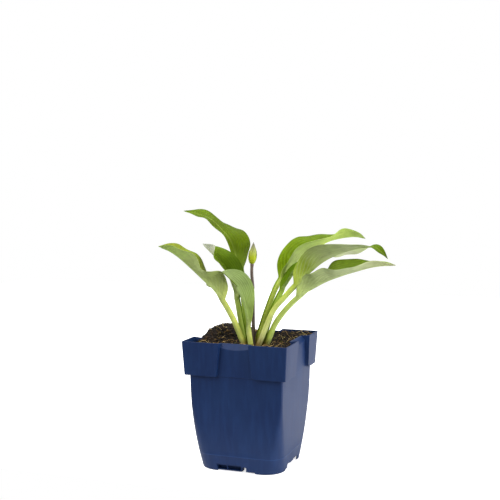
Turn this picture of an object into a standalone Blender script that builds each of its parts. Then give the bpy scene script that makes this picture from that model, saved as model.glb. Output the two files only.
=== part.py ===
"""Young hosta in a square blue nursery pot, at its real size, in metres, +Z up.

The origin is the middle of the pot's base, on the surface that the pot stands on.
The pot's front faces -Y. Every piece that would come apart on a bench is one object:
the moulded pot, the peat, the crown, each leaf with its stalk, the flower stem,
the bud and the bracts around it.
"""

import math

import bmesh
import bpy
import numpy as np
from mathutils import Vector

MM = 0.001
CLEARANCE = 0.3 * MM                # air left between pieces that touch

# Pot: a 9 cm square pot with a flag standing out at each corner of its rim
RIM_WIDTH = 91 * MM                 # over the flags, at the top
POT_HEIGHT = 108.0 * MM
WALL = 1.0 * MM
FLAG_HEIGHT = 28.0 * MM
FLAG_DRAFT = 1.65 * MM              # how far a flag leans in towards its foot
FLAG_CORNER = 1.0 * MM
RECESS_HALF = 12.3 * MM             # half the gap between two flags, at the rim
RECESS_FLARE = 2.6 * MM             # how much wider that gap is at the flags' foot
SIDE_RECESS_WIDER = 2.8 * MM        # on the left and right sides, each way,
SIDE_RECESS_SHIFT = 3.4 * MM        # and how far it then lies off the middle
STEP_DRAFT = 0.5 * MM
PANEL_PROUD = 0.6 * MM              # panel between the flags, out from the body
SCOOP_DEPTH = 5.7 * MM              # dip of the panel's top edge at its middle
SCOOP_ENDS = 4.0 * MM
SCOOP_LEAN = 2.6 * MM               # how far the sloping lip leans in above the dip
SCOOP_BEND = 1.3 * MM               # below the dip, where the inner face starts to lean
LIP_DROP = 0.7 * MM                 # the thin lip above the dip, below the flags' top
BODY_TOP_HALF = 40.5 * MM
BODY_TAPER = 2.0 * MM               # straight part of the taper, top to base
BODY_TUCK = 2.7 * MM                # rounding-in towards the base
BODY_CORNER = 2.0 * MM              # corner radius below the flags
BASE_CORNER = 17.0 * MM             # corner radius at the base
CORNER_START = 60 * MM              # height at which the corners begin to round
CORNER_STEPS = 4

# Base: feet at the corners and raised edges between them. The front and back have a
# notch and two drain windows, the left and right sides a higher edge and two ribs.
FLOOR_TOP = 6.0 * MM
FLOOR_UNDER = 5.0 * MM
FLOOR_MIDDLE = (FLOOR_TOP + FLOOR_UNDER) / 2
EDGE_LIFT = 0.8 * MM
EDGE_SPAN = (-17.4 * MM, 15.5 * MM)
WINDOWS = ((-17.4 * MM, -8.7 * MM), (-8.1 * MM, 3.3 * MM))
WINDOW_HEIGHT = (1.3 * MM, 5.8 * MM)
NOTCH = (3.9 * MM, 7.7 * MM)
NOTCH_HEIGHT = 4.7 * MM
SIDE_EDGE_LIFT = 4.1 * MM
SIDE_EDGE_SPAN = (-13.0 * MM, 15.5 * MM)
RIBS = ((-11.0 * MM, -6.5 * MM), (0.5 * MM, 9.5 * MM))
RIB_FOOT = 1.2 * MM
GUTTER_SPAN = (-17.4 * MM, 3.3 * MM)
GUTTER_DEPTH = 5.0 * MM
CUP_RADIUS = 7.0 * MM
CUP_UNDER = 1.0 * MM

# Peat: fills the pot to a few millimetres below the rim, heaped at the back left
SOIL_LEVEL = 100.8 * MM
SOIL_BACK_RISE = 5.4 * MM
HEAP_CENTRE = (-31 * MM, 21 * MM)
HEAP_HEIGHT = 10.5 * MM
HEAP_SPREAD = 13 * MM
RIDGE_HEIGHT = 11.0 * MM            # beside the left wall
RIDGE_CENTRE = (-35 * MM, -6 * MM)
RIDGE_SPREAD = (7 * MM, 12 * MM)

# Crown: the short rootstock that every stalk grows from
CROWN_CENTRE = (2.6 * MM, 1.6 * MM)
CROWN_RADII = (13.5 * MM, 10.5 * MM)
CROWN_TURN = math.radians(20)
CROWN_DEPTH = 7.0 * MM
CROWN_TOP = 101.0 * MM

# Leaves
STALK_THICKNESS = 2.6 * MM
RIB_THICKNESS = 1.0 * MM
MARGIN_THICKNESS = 0.4 * MM
LEAF_STATIONS = 30
LEAF_COLUMNS = 3                    # from the midrib to one margin

# Flower stem and bud
STEM_RADIUS = 1.35 * MM
BUD_LENGTH = 19.0 * MM
BUD_RADIUS = 2.9 * MM
BRACT_THICKNESS = 0.5 * MM

# Each leaf leaves the crown at base (x, y) and heads towards a compass angle in
# degrees, counter-clockwise from +X. Its spine is the midrib in that upright plane, as
# (reach, height) above the crown, with a third number where it strays to the left of
# the plane. The blade starts after the stalk's length. fold_left and fold_right say
# how steeply each half rises from the midrib, in degrees, at stations from 0 at the
# blade's base to 1 at its tip. lopsided makes the left half so much wider, and the right
# half narrower. All lengths are in millimetres.
LEAVES = {
    "leaf_left_front": dict(
        base=(-5.4, -4.0), heading=205, stalk=41, half_width=17.5, shape=(0.8, 1.05),
        spine=((0, 0.3), (9, 22), (18, 38), (26, 48), (34.5, 56.5), (44.5, 66), (56, 76),
               (64, 81), (72, 84)),
        fold_left=((0, 50), (0.14, 88), (0.26, 74), (0.38, 27), (0.46, 18), (0.56, 34),
                   (0.66, 41), (0.77, 35), (0.87, 48), (1, 50)),
        fold_right=((0, 40), (0.12, 15), (0.26, -11), (0.34, 14), (0.44, 30), (0.58, 42),
                    (0.75, 46), (0.87, 72), (1, 60))),
    "leaf_left_back": dict(
        base=(-6.6, 1.8), heading=185, stalk=38, half_width=13.5, shape=(0.9, 1.0),
        spine=((0, 0.3), (4, 21), (7, 39, 1), (11, 52, 2), (15.7, 62, 2.4),
               (23.5, 72.5, 3.6), (36.5, 85, 4.2)),
        fold_left=((0, 50), (0.3, 30), (0.6, 8), (0.74, 12), (0.86, 80), (1, 60)),
        fold_right=((0, 50), (0.3, 70), (0.62, 69), (0.82, 45), (1, 30))),
    "leaf_front": dict(
        base=(1.4, -5.3), heading=212, stalk=12, half_width=13, shape=(2.0, 0.95),
        spine=((0, 0.3), (4.2, 28), (8.2, 41.5, 0.4), (13.4, 51, 1), (18.7, 56.5, 1.6),
               (23, 60.5, 2), (26, 63, 2.3)),
        fold_left=((0, 30), (0.3, 60), (0.5, 80), (1, 95)),
        fold_right=((0, 30), (0.3, 20), (0.6, 60), (1, 60))),
    "leaf_left_top": dict(
        base=(-4.3, 7.4), heading=165, stalk=53, half_width=13.5, shape=(0.7, 1.1),
        spine=((0, 0.3), (5, 28), (9.3, 49, -1), (14.6, 64, -3), (19, 75, -4), (23.3, 85, -4),
               (32.5, 95, -4), (44, 104, -4), (57.5, 108.5, -4), (75.5, 111.5, -4)),
        fold_left=((0, 30), (0.1, -25), (0.15, -12), (0.2, 6), (0.3, 20), (0.4, 23), (0.5, 12),
                   (0.6, 8), (0.72, 14), (1, 15)),
        fold_right=((0, 30), (0.1, -12), (0.15, -16), (0.2, -3), (0.25, 14), (0.3, 35), (0.4, 32),
                    (0.48, 18), (0.56, 5), (0.63, -6), (0.7, -6), (0.85, 10), (1, 10)),
        roll=((0, 0), (0.45, 0), (0.62, 0), (0.8, -22), (1, -25)),
        lopsided=0.8),
    "leaf_right_top": dict(
        base=(1.9, 6.5), heading=35, stalk=58, half_width=16.5, shape=(0.8, 1.05),
        spine=((0, 0.3), (9, 28), (19.5, 52), (29.5, 64), (41, 74), (53.5, 81), (65.5, 87),
               (82, 90), (92, 90), (99, 88)),
        fold_left=((0, 40), (0.12, 66), (0.27, 58), (0.45, 38), (0.62, 16), (1, 20)),
        fold_right=((0, 40), (0.1, 44), (0.2, 47), (0.35, 48), (0.62, 25), (0.8, 60), (1, 60)),
        lopsided=1.12),
    "leaf_right_middle": dict(
        base=(6.5, -2.4), heading=15, stalk=60, half_width=16, shape=(0.7, 1.05),
        spine=((0, 0.3), (12.5, 30), (21.5, 41), (32.5, 53), (44.5, 64), (53, 71), (64, 77),
               (76.5, 81.5), (88, 84), (97, 83.5), (103, 79.5), (108, 74)),
        fold_left=((0, 40), (0.3, 30), (0.45, -10), (0.55, -16), (0.68, -28), (0.8, -5),
                   (0.9, 45), (1, 50)),
        fold_right=((0, 40), (0.12, 84), (0.38, 62), (0.52, 32), (0.68, 18), (0.8, 0),
                    (0.9, -20), (1, -20))),
    "leaf_right_low": dict(
        base=(12.1, 3.3), heading=5, stalk=49, half_width=15.5, shape=(0.7, 1.0),
        spine=((0, 0.3), (8, 19.5), (23, 38), (32, 45), (40, 50), (51, 56), (64, 61),
               (76.5, 65), (89, 68.5), (100, 70), (108.5, 70)),
        fold_left=((0, 40), (0.15, 40), (0.3, 25), (0.45, 53), (0.63, 42), (0.78, 25),
                   (1, 30)),
        fold_right=((0, 40), (0.08, 85), (0.16, 84), (0.26, 50), (0.37, 42), (0.44, 30),
                    (0.6, 17), (0.78, 32), (1, 40))),
    "leaf_right_back": dict(
        base=(7.4, 4.9), heading=27, stalk=48, half_width=6.5, shape=(0.9, 1.05),
        spine=((0, 0.3), (5.5, 19), (10.5, 33), (16.5, 45), (21.5, 52.5), (26.5, 59.5),
               (31.5, 65.5), (37, 71)),
        fold_left=((0, 45), (1, 60)),
        fold_right=((0, 30), (1, 20))),
}
STALK_HALF_WIDTHS = (2.5 * MM, 2.3 * MM)        # at the crown and at the blade


# ---------------------------------------------------------------- shared tools

def clear_scene():
    for thing in list(bpy.data.objects):
        bpy.data.objects.remove(thing, do_unlink=True)


def make_material(name, colour, roughness):
    material = bpy.data.materials.new(name)
    material.use_nodes = True
    shader = material.node_tree.nodes["Principled BSDF"]
    shader.inputs["Base Color"].default_value = (*colour, 1)
    shader.inputs["Roughness"].default_value = roughness
    shader.inputs["Metallic"].default_value = 0
    return material


def make_object(name, mesh_builder, material=None):
    mesh = bpy.data.meshes.new(name)
    bmesh.ops.recalc_face_normals(mesh_builder, faces=mesh_builder.faces)
    mesh_builder.to_mesh(mesh)
    mesh_builder.free()
    thing = bpy.data.objects.new(name, mesh)
    bpy.context.scene.collection.objects.link(thing)
    if material:
        mesh.materials.append(material)
    mesh.shade_smooth()
    mesh.set_sharp_from_angle(angle=math.radians(35))
    return thing


def loft(loops):
    """Skins closed loops of equal length one to the next, and caps the two ends."""
    builder = bmesh.new()
    rows = [[builder.verts.new(point) for point in loop] for loop in loops]
    for row, above in zip(rows, rows[1:]):
        for i in range(len(row)):
            after = (i + 1) % len(row)
            builder.faces.new((row[i], row[after], above[after], above[i]))
    builder.faces.new(rows[0])
    builder.faces.new(rows[-1])
    return builder


def hide(cutter):
    cutter.hide_render = True
    cutter.display_type = "WIRE"


def combine(thing, other, operation):
    hide(other)
    modifier = thing.modifiers.new(f"{operation.lower()} {other.name}", "BOOLEAN")
    modifier.operation = operation
    modifier.solver = "EXACT"
    modifier.object = other


# ---------------------------------------------------------------- pot

def body_half(z):
    """Half the body's width at height z: a slight taper, tucked in near the base."""
    down = 1 - min(z / (POT_HEIGHT - FLAG_HEIGHT), 1)
    return BODY_TOP_HALF - BODY_TAPER * down - BODY_TUCK * down ** 3


def body_corner(z):
    """Corner radius of the body, which opens like a cone towards the base."""
    down = max(1 - z / CORNER_START, 0)
    return BODY_CORNER + (BASE_CORNER - BODY_CORNER) * down ** 1.4


def outline(flag, panel, step_out, step_in, corner, uneven=0.0):
    """One loop round the pot, as (along, out, part of the side) turned to each side.

    flag and panel are distances from the axis; the step between them lies between
    step_out and step_in from the middle of the side. uneven, from 0 to 1, is how much of
    their own width and shift the left and right sides take.
    """
    loop = []
    centre = flag - corner
    for side in range(4):
        wider = uneven * SIDE_RECESS_WIDER if side % 2 else 0
        middle = uneven * SIDE_RECESS_SHIFT if side % 2 else 0
        points = []
        for i in range(CORNER_STEPS + 1):
            angle = math.radians(225 + 45 * i / CORNER_STEPS)
            points.append((-centre + corner * math.cos(angle),
                           -centre + corner * math.sin(angle), None))
        points.append((middle - step_out - wider, -flag, None))
        points += [(middle + (step_in + wider) * f, -panel, f)
                   for f in (-1.0, -0.5, 0.0, 0.5, 1.0)]
        points.append((middle + step_out + wider, -flag, None))
        for i in range(CORNER_STEPS):
            angle = math.radians(270 + 45 * i / CORNER_STEPS)
            points.append((centre + corner * math.cos(angle),
                           -centre + corner * math.sin(angle), None))
        turn = side * math.pi / 2
        for x, y, part in points:
            loop.append((x * math.cos(turn) - y * math.sin(turn),
                         x * math.sin(turn) + y * math.cos(turn), part))
    return loop


def at_height(loop, z, panel_z=None):
    """The loop's points in space; panel_z(part) sets the height between the flags."""
    return [(x, y, panel_z(part) if panel_z and part is not None else z)
            for x, y, part in loop]


def body_loop(z, inset=0.0):
    half = body_half(z) - inset
    corner = max(body_corner(z) - inset, 0.8 * MM)
    widest = RECESS_HALF + RECESS_FLARE + STEP_DRAFT + inset
    step = min(widest, 0.9 * (half - corner))
    uneven = min(z / (POT_HEIGHT - FLAG_HEIGHT), 1)
    return at_height(outline(half, half, step, step - STEP_DRAFT, corner, uneven), z)


def outline_in_band(z, inset=0.0, panel=None):
    """The outline at height z in the rim band, where the flags stand out."""
    up = (z - (POT_HEIGHT - FLAG_HEIGHT)) / FLAG_HEIGHT
    flag = RIM_WIDTH / 2 - FLAG_DRAFT * (1 - up) - inset
    if panel is None:
        panel = BODY_TOP_HALF + PANEL_PROUD - inset
    step_in = RECESS_HALF + RECESS_FLARE * (1 - up) + inset
    corner = max(FLAG_CORNER - inset, 0.6 * MM)
    return outline(flag, panel, step_in + STEP_DRAFT, step_in, corner, 1.0)


def band_loop(z, inset=0.0, panel=None, panel_z=None):
    return at_height(outline_in_band(z, inset, panel), z, panel_z)


BODY_HEIGHTS = tuple(h * MM for h in (0, 6, 13.5, 22, 32, 44, 58, 70))


def scoop_edge(part):
    """Height of the dipped edge: an arc across the panel."""
    return POT_HEIGHT - SCOOP_ENDS - (SCOOP_DEPTH - SCOOP_ENDS) * (1 - part ** 2)


def scoop_lip(part):
    return POT_HEIGHT - LIP_DROP


def box_on_side(builder, side, along, out, height):
    """Adds a box: along the side, from out[0] to out[1] off the axis, between heights."""
    turn = side * math.pi / 2
    corners = []
    for z in height:
        for x, y in ((along[0], -out[1]), (along[1], -out[1]),
                     (along[1], -out[0]), (along[0], -out[0])):
            corners.append(builder.verts.new((x * math.cos(turn) - y * math.sin(turn),
                                              x * math.sin(turn) + y * math.cos(turn), z)))
    low, high = corners[:4], corners[4:]
    builder.faces.new(low)
    builder.faces.new(high)
    for i in range(4):
        builder.faces.new((low[i], low[(i + 1) % 4], high[(i + 1) % 4], high[i]))


FRONT_AND_BACK = (0, 2)
LEFT_AND_RIGHT = (1, 3)


def boxes_on_sides(name, spans, out, height, sides):
    builder = bmesh.new()
    for side in sides:
        for along in spans:
            box_on_side(builder, side, along, out, height)
    return make_object(name, builder)


def disc(name, radius, low, high, segments=32):
    builder = bmesh.new()
    ring = [(radius * math.cos(2 * math.pi * i / segments),
             radius * math.sin(2 * math.pi * i / segments)) for i in range(segments)]
    rows = [[builder.verts.new((x, y, z)) for x, y in ring] for z in (low, high)]
    for i in range(segments):
        after = (i + 1) % segments
        builder.faces.new((rows[0][i], rows[0][after], rows[1][after], rows[1][i]))
    builder.faces.new(rows[0])
    builder.faces.new(rows[1])
    return make_object(name, builder)


def make_pot():
    foot = POT_HEIGHT - FLAG_HEIGHT                 # the flags' lower edge
    lip_in = BODY_TOP_HALF + PANEL_PROUD - SCOOP_LEAN
    dip = POT_HEIGHT - SCOOP_DEPTH
    outside = [body_loop(z) for z in BODY_HEIGHTS]
    outside.append(body_loop(foot))
    outside.append(band_loop(foot))
    outside.append(band_loop(dip, panel_z=scoop_edge))
    outside.append(band_loop(POT_HEIGHT, panel=lip_in, panel_z=scoop_lip))
    inside = [band_loop(POT_HEIGHT, WALL, panel=lip_in - WALL, panel_z=scoop_lip)]
    inside.append(band_loop(dip - SCOOP_BEND, WALL))
    inside.append(band_loop(foot + WALL, WALL))
    inside.append(body_loop(foot + WALL, WALL))
    inside += [body_loop(z, WALL) for z in reversed(BODY_HEIGHTS[2:])]
    inside.append(body_loop(FLOOR_TOP, WALL))
    moulded_blue = make_material("moulded blue polypropylene", (0.016, 0.045, 0.135), 0.35)
    pot = make_object("pot", loft(outside + inside), moulded_blue)

    wall_out = body_half(0)
    under = [body_loop(z, WALL) for z in (0, FLOOR_UNDER)]
    under[0] = [(x, y, -1 * MM) for x, y, _ in under[0]]
    hollow = make_object("hollow_under_floor", loft(under))
    combine(pot, hollow, "DIFFERENCE")

    gutter_out = (GUTTER_SPAN[0] - WALL, GUTTER_SPAN[1] + WALL)
    deep = wall_out - GUTTER_DEPTH
    shell = boxes_on_sides("gutter_shells", [gutter_out],
                           (deep - WALL, wall_out - 0.4 * MM), (EDGE_LIFT, FLOOR_MIDDLE),
                           FRONT_AND_BACK)
    combine(pot, shell, "UNION")
    slots = boxes_on_sides("gutter_slots", [GUTTER_SPAN], (deep, wall_out - WALL),
                           (WINDOW_HEIGHT[0], FLOOR_TOP + MM), FRONT_AND_BACK)
    combine(pot, slots, "DIFFERENCE")
    ribs = boxes_on_sides("ribs", RIBS, (deep, wall_out - 1.6 * MM), (RIB_FOOT, FLOOR_MIDDLE),
                          LEFT_AND_RIGHT)
    combine(pot, ribs, "UNION")
    combine(pot, disc("centre_cup", CUP_RADIUS + WALL, CUP_UNDER, FLOOR_MIDDLE), "UNION")
    combine(pot, disc("centre_cup_hollow", CUP_RADIUS, CUP_UNDER + WALL, FLOOR_TOP + MM),
            "DIFFERENCE")

    through = (wall_out - 3 * MM, wall_out + 3 * MM)
    combine(pot, boxes_on_sides("windows", WINDOWS, through, WINDOW_HEIGHT, FRONT_AND_BACK),
            "DIFFERENCE")
    combine(pot, boxes_on_sides("notches", [NOTCH], through, (-MM, NOTCH_HEIGHT),
                                FRONT_AND_BACK), "DIFFERENCE")
    wall_only = (wall_out - 1.3 * MM, wall_out + 3 * MM)
    combine(pot, boxes_on_sides("raised_edges", [EDGE_SPAN], wall_only, (-MM, EDGE_LIFT),
                                FRONT_AND_BACK + LEFT_AND_RIGHT), "DIFFERENCE")
    combine(pot, boxes_on_sides("high_edges", [SIDE_EDGE_SPAN], wall_only,
                                (-2 * MM, SIDE_EDGE_LIFT), LEFT_AND_RIGHT), "DIFFERENCE")
    return pot


# ---------------------------------------------------------------- soil and crown

def soil_height(x, y):
    """Height of the peat: level round the crown, with a heap and a ridge by the wall."""
    back = min(max(y / (40 * MM), 0), 1)
    heap = math.exp(-((x - HEAP_CENTRE[0]) ** 2 + (y - HEAP_CENTRE[1]) ** 2)
                    / (2 * HEAP_SPREAD ** 2))
    ridge = math.exp(-((x - RIDGE_CENTRE[0]) / RIDGE_SPREAD[0]) ** 2 / 2
                     - ((y - RIDGE_CENTRE[1]) / RIDGE_SPREAD[1]) ** 2 / 2)
    from_crown = math.hypot(x - CROWN_CENTRE[0], y - CROWN_CENTRE[1])
    away = min(max((from_crown - 13 * MM) / (12 * MM), 0), 1)
    lumps = 0.5 * MM * math.sin(x / (4.1 * MM)) * math.sin(y / (3.7 * MM) + 0.6)
    return SOIL_LEVEL + away * (SOIL_BACK_RISE * back ** 2 + HEAP_HEIGHT * heap
                                + RIDGE_HEIGHT * ridge + lumps)


def panel_inside(z):
    """Inner face of the panel between the flags, which leans in near the rim."""
    start = POT_HEIGHT - SCOOP_DEPTH - SCOOP_BEND
    up = min(max((z - start) / (POT_HEIGHT - LIP_DROP - start), 0), 1)
    return BODY_TOP_HALF + PANEL_PROUD - WALL - SCOOP_LEAN * up


def soil_rim_loop():
    """Where the peat meets the pot's inner wall."""
    loop = []
    for x, y, part in outline_in_band(SOIL_LEVEL, WALL + CLEARANCE):
        z = soil_height(x, y)
        if part is not None:
            far = max(abs(x), abs(y))
            z = min(z, POT_HEIGHT - LIP_DROP - MM)
            near = panel_inside(z) - CLEARANCE
            x = x * near / far if abs(x) == far else x
            y = y * near / far if abs(y) == far else y
        loop.append((x, y, z))
    return loop


def soil_surface_loop(half):
    """A loop on the peat's surface, squarer near the wall and rounder near the crown."""
    corner = half * (1 - 0.75 * half / (RIM_WIDTH / 2))
    step = min(0.42 * half, 0.9 * (half - corner))
    loop = outline(half, half, step, 0.95 * step, corner)
    return [(x, y, soil_height(x, y)) for x, y, _ in loop]


def make_soil():
    gap = WALL + CLEARANCE
    foot = POT_HEIGHT - FLAG_HEIGHT
    loops = [body_loop(FLOOR_TOP + CLEARANCE, gap)]
    loops += [body_loop(z, gap) for z in BODY_HEIGHTS[2:]]
    above_ledge = foot + WALL + CLEARANCE
    loops.append(body_loop(above_ledge, gap))
    loops.append(band_loop(above_ledge, gap))
    loops.append(band_loop(98 * MM, gap))
    loops.append(soil_rim_loop())
    loops += [soil_surface_loop(half * MM) for half in (35, 29, 23, 17.5, 12, 6)]
    peat = make_material("dark moist peat", (0.028, 0.017, 0.010), 0.95)
    soil = make_object("soil", loft(loops), peat)

    deep = body_half(0) - GUTTER_DEPTH + CLEARANCE
    toes = (GUTTER_SPAN[0] + CLEARANCE, GUTTER_SPAN[1] - CLEARANCE)
    combine(soil, boxes_on_sides("soil_in_gutters", [toes],
                                 (deep, body_half(0) - WALL - CLEARANCE),
                                 (WINDOW_HEIGHT[0] + CLEARANCE, 8 * MM),
                                 FRONT_AND_BACK), "UNION")
    pocket = crown_solid("crown_pocket", CLEARANCE, 20 * MM)
    combine(soil, pocket, "DIFFERENCE")
    return soil


def crown_solid(name, grow, extra_top=0.0, material=None):
    """The rootstock: an oval, blunt-bottomed knob sunk in the peat."""
    rows = ((-1.0, 0.35), (-0.85, 0.68), (-0.5, 0.92), (-0.15, 1.0))
    loops = []
    for down, wide in rows:
        loops.append(crown_loop(wide, CROWN_TOP + down * CROWN_DEPTH - grow, grow))
    loops.append(crown_loop(1.0 if extra_top else 0.9, CROWN_TOP + extra_top, grow))
    return make_object(name, loft(loops), material)


def crown_loop(wide, z, grow):
    loop = []
    for i in range(28):
        angle = 2 * math.pi * i / 28
        x = (CROWN_RADII[0] * wide + grow) * math.cos(angle)
        y = (CROWN_RADII[1] * wide + grow) * math.sin(angle)
        loop.append((CROWN_CENTRE[0] + x * math.cos(CROWN_TURN) - y * math.sin(CROWN_TURN),
                     CROWN_CENTRE[1] + x * math.sin(CROWN_TURN) + y * math.cos(CROWN_TURN),
                     z))
    return loop


# ---------------------------------------------------------------- leaves

def smooth_curve(points, count):
    """Evenly spaced points on a smooth curve through the given ones, and its length."""
    points = np.asarray(points, float)
    knots = np.concatenate([[0], np.cumsum(np.sqrt(np.linalg.norm(np.diff(points, axis=0),
                                                                  axis=1)))])
    slopes = np.gradient(points, knots, axis=0)
    fine = []
    for i in range(len(points) - 1):
        span = knots[i + 1] - knots[i]
        t = np.linspace(0, 1, 40, endpoint=False)[:, None]
        fine.append((2 * t ** 3 - 3 * t ** 2 + 1) * points[i]
                    + (t ** 3 - 2 * t ** 2 + t) * span * slopes[i]
                    + (3 * t ** 2 - 2 * t ** 3) * points[i + 1]
                    + (t ** 3 - t ** 2) * span * slopes[i + 1])
    fine.append(points[-1:])
    fine = np.concatenate(fine)
    run = np.concatenate([[0], np.cumsum(np.linalg.norm(np.diff(fine, axis=0), axis=1))])
    even = np.linspace(0, run[-1], count)
    return np.stack([np.interp(even, run, fine[:, k]) for k in range(3)], axis=1), run[-1]


def along(keys, place):
    """Values eased between (station, value) keys."""
    stations, values = np.array(keys, float).T
    place = np.clip(place, stations[0], stations[-1])
    left = np.clip(np.searchsorted(stations, place) - 1, 0, len(stations) - 2)
    t = (place - stations[left]) / (stations[left + 1] - stations[left])
    slopes = np.gradient(values, stations)
    span = stations[left + 1] - stations[left]
    return ((2 * t ** 3 - 3 * t ** 2 + 1) * values[left]
            + (t ** 3 - 2 * t ** 2 + t) * span * slopes[left]
            + (3 * t ** 2 - 2 * t ** 3) * values[left + 1]
            + (t ** 3 - t ** 2) * span * slopes[left + 1])


def blade_profile(place, rise, fall):
    """Half-width along the blade, from 0 to 1 and back to 0 at the tip."""
    widest = rise / (rise + fall)
    peak = widest ** rise * (1 - widest) ** fall
    return place ** rise * (1 - place) ** fall / peak * (1 - np.exp(-(place / 0.03) ** 1.3))


def leaf_surface(leaf, stations, columns):
    """Points of the leaf's upper face (stations x columns across) and their normals."""
    turn = math.radians(leaf["heading"])
    forward = np.array((math.cos(turn), math.sin(turn), 0.0))
    aside = np.array((-math.sin(turn), math.cos(turn), 0.0))
    start = np.array((leaf["base"][0] * MM, leaf["base"][1] * MM, CROWN_TOP))
    spine = [start + (forward * reach + np.array((0, 0, height)) + aside * sum(stray)) * MM
             for reach, height, *stray in leaf["spine"]]
    centre, length = smooth_curve(spine, stations)
    tangent = np.gradient(centre, axis=0)
    tangent /= np.linalg.norm(tangent, axis=1)[:, None]
    across = aside - (tangent @ aside)[:, None] * tangent
    across /= np.linalg.norm(across, axis=1)[:, None]
    up = np.cross(tangent, across)

    run = np.linspace(0, length, stations)
    stalk = leaf["stalk"] * MM
    place = np.clip((run - stalk) / (length - stalk), 0, 1)
    profile = blade_profile(place, *leaf["shape"])
    low, high = STALK_HALF_WIDTHS
    stem = (low + (high - low) * np.clip(run / stalk, 0, 1)) * (1 - place) ** 0.7
    width = stem * (1 - profile) + leaf["half_width"] * MM * profile + 0.3 * MM

    roll = np.radians(along(leaf.get("roll", ((0, 0), (1, 0))), place))[:, None]
    across, up = (across * np.cos(roll) + up * np.sin(roll),
                  up * np.cos(roll) - across * np.sin(roll))
    grid = np.zeros((stations, 2 * columns + 1, 3))
    grid[:, columns] = centre
    for side, keys in ((1, leaf["fold_left"]), (-1, leaf["fold_right"])):
        rise = np.radians(along(keys, place))[:, None]
        own = width * (1 + (leaf.get("lopsided", 1) ** side - 1) * np.minimum(place / 0.1, 1))
        for j in range(1, columns + 1):
            reach = (own * j / columns)[:, None]
            grid[:, columns + side * j] = (centre + side * across * reach * np.cos(rise)
                                           + up * reach * np.sin(rise))
    return grid, place, length


def surface_normals(grid):
    lengthwise = np.gradient(grid, axis=0)
    crosswise = np.gradient(grid, axis=1)
    normals = np.cross(lengthwise, crosswise)
    return normals / np.linalg.norm(normals, axis=2)[:, :, None]


def make_leaf(name, leaf, material):
    grid, place, _ = leaf_surface(leaf, LEAF_STATIONS, LEAF_COLUMNS)
    normals = surface_normals(grid)
    off_rib = np.abs(np.linspace(-1, 1, 2 * LEAF_COLUMNS + 1))
    blade = np.clip(place / 0.12, 0, 1)[:, None]
    rib = STALK_THICKNESS * (1 - blade) + RIB_THICKNESS * blade * (1 - 0.5 * place[:, None])
    thickness = MARGIN_THICKNESS + (rib - MARGIN_THICKNESS) * (1 - off_rib) ** 1.2
    under = grid - normals * thickness[:, :, None]
    for face in (grid, under):              # the stalk ends level, on the crown
        lean = (grid[1, LEAF_COLUMNS] - grid[0, LEAF_COLUMNS])
        face[0] -= lean * ((face[0, :, 2] - CROWN_TOP - CLEARANCE) / lean[2])[:, None]
    loops = [list(top) + list(bottom[::-1]) for top, bottom in zip(grid, under)]
    return make_object(name, loft([[tuple(p) for p in loop] for loop in loops]), material)


# ---------------------------------------------------------------- flower stem and bud

STEM_PATH = ((0.9, 1.9, 101.4), (-0.1, 4.0, 121), (-1.0, 5.8, 146), (-2.2, 5.9, 161.5),
             (-1.9, 5.9, 168.2))
BUD_LEAN = (0.07, 0.0, 1.0)


def make_stem():
    points, _ = smooth_curve(np.array(STEM_PATH) * MM, 12)
    curve = bpy.data.curves.new("flower_stem", "CURVE")
    curve.dimensions = "3D"
    curve.bevel_depth = STEM_RADIUS
    curve.bevel_resolution = 2
    curve.use_fill_caps = True
    line = curve.splines.new("POLY")
    line.points.add(len(points) - 1)
    for knot, point in zip(line.points, points):
        knot.co = (*point, 1)
    line.use_smooth = True
    stem = bpy.data.objects.new("flower_stem", curve)
    bpy.context.scene.collection.objects.link(stem)
    curve.materials.append(make_material("purple-brown stem", (0.10, 0.055, 0.05), 0.5))
    return stem


def bud_radius(up):
    """The bud's radius at a fraction of its height: full below the middle, pointed on top."""
    return BUD_RADIUS * (math.sin(math.pi * min(up / 0.9, 1) ** 0.75) ** 0.8
                         if 0 < up < 0.9 else 0) + 0.25 * MM


def bud_frame():
    low = Vector(STEM_PATH[-1]) * MM + Vector((0, 0, CLEARANCE))
    axis = Vector(BUD_LEAN).normalized()
    right = axis.cross(Vector((0, 1, 0))).normalized()
    return low, axis, right, axis.cross(right)


def make_bud(material):
    low, axis, right, ahead = bud_frame()
    loops = []
    for i in range(11):
        up = i / 10
        radius = bud_radius(up * 0.93)
        loops.append([tuple(low + axis * BUD_LENGTH * up
                            + (right * math.cos(a) + ahead * math.sin(a)) * radius)
                      for a in [2 * math.pi * k / 14 for k in range(14)]])
    return make_object("flower_bud", loft(loops), material)


BRACTS = {                      # middle of the bract round the bud, degrees; spread; top
    "bract_front": (250, 62, 0.82),
    "bract_left": (10, 48, 0.62),
    "bract_back": (125, 56, 0.72),
}


def make_bract(name, middle, spread, top, material):
    """A boat-shaped scale that hugs the bud: wide at its foot, pointed at its top."""
    low, axis, right, ahead = bud_frame()
    loops = []
    rows = 8
    across = 7
    for i in range(rows):
        up = 0.06 + (top - 0.06) * i / (rows - 1)
        narrow = 1 - (i / (rows - 1)) ** 2.2 * 0.93
        inner, outer = [], []
        for k in range(across):
            angle = math.radians(middle + spread * narrow * (2 * k / (across - 1) - 1))
            radial = right * math.cos(angle) + ahead * math.sin(angle)
            near = bud_radius(up * 0.93) + CLEARANCE + 0.1 * MM
            inner.append(tuple(low + axis * BUD_LENGTH * up + radial * near))
            outer.append(tuple(low + axis * BUD_LENGTH * up
                               + radial * (near + BRACT_THICKNESS)))
        loops.append(inner + outer[::-1])
    return make_object(name, loft(loops), material)


# ---------------------------------------------------------------- assembly

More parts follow.
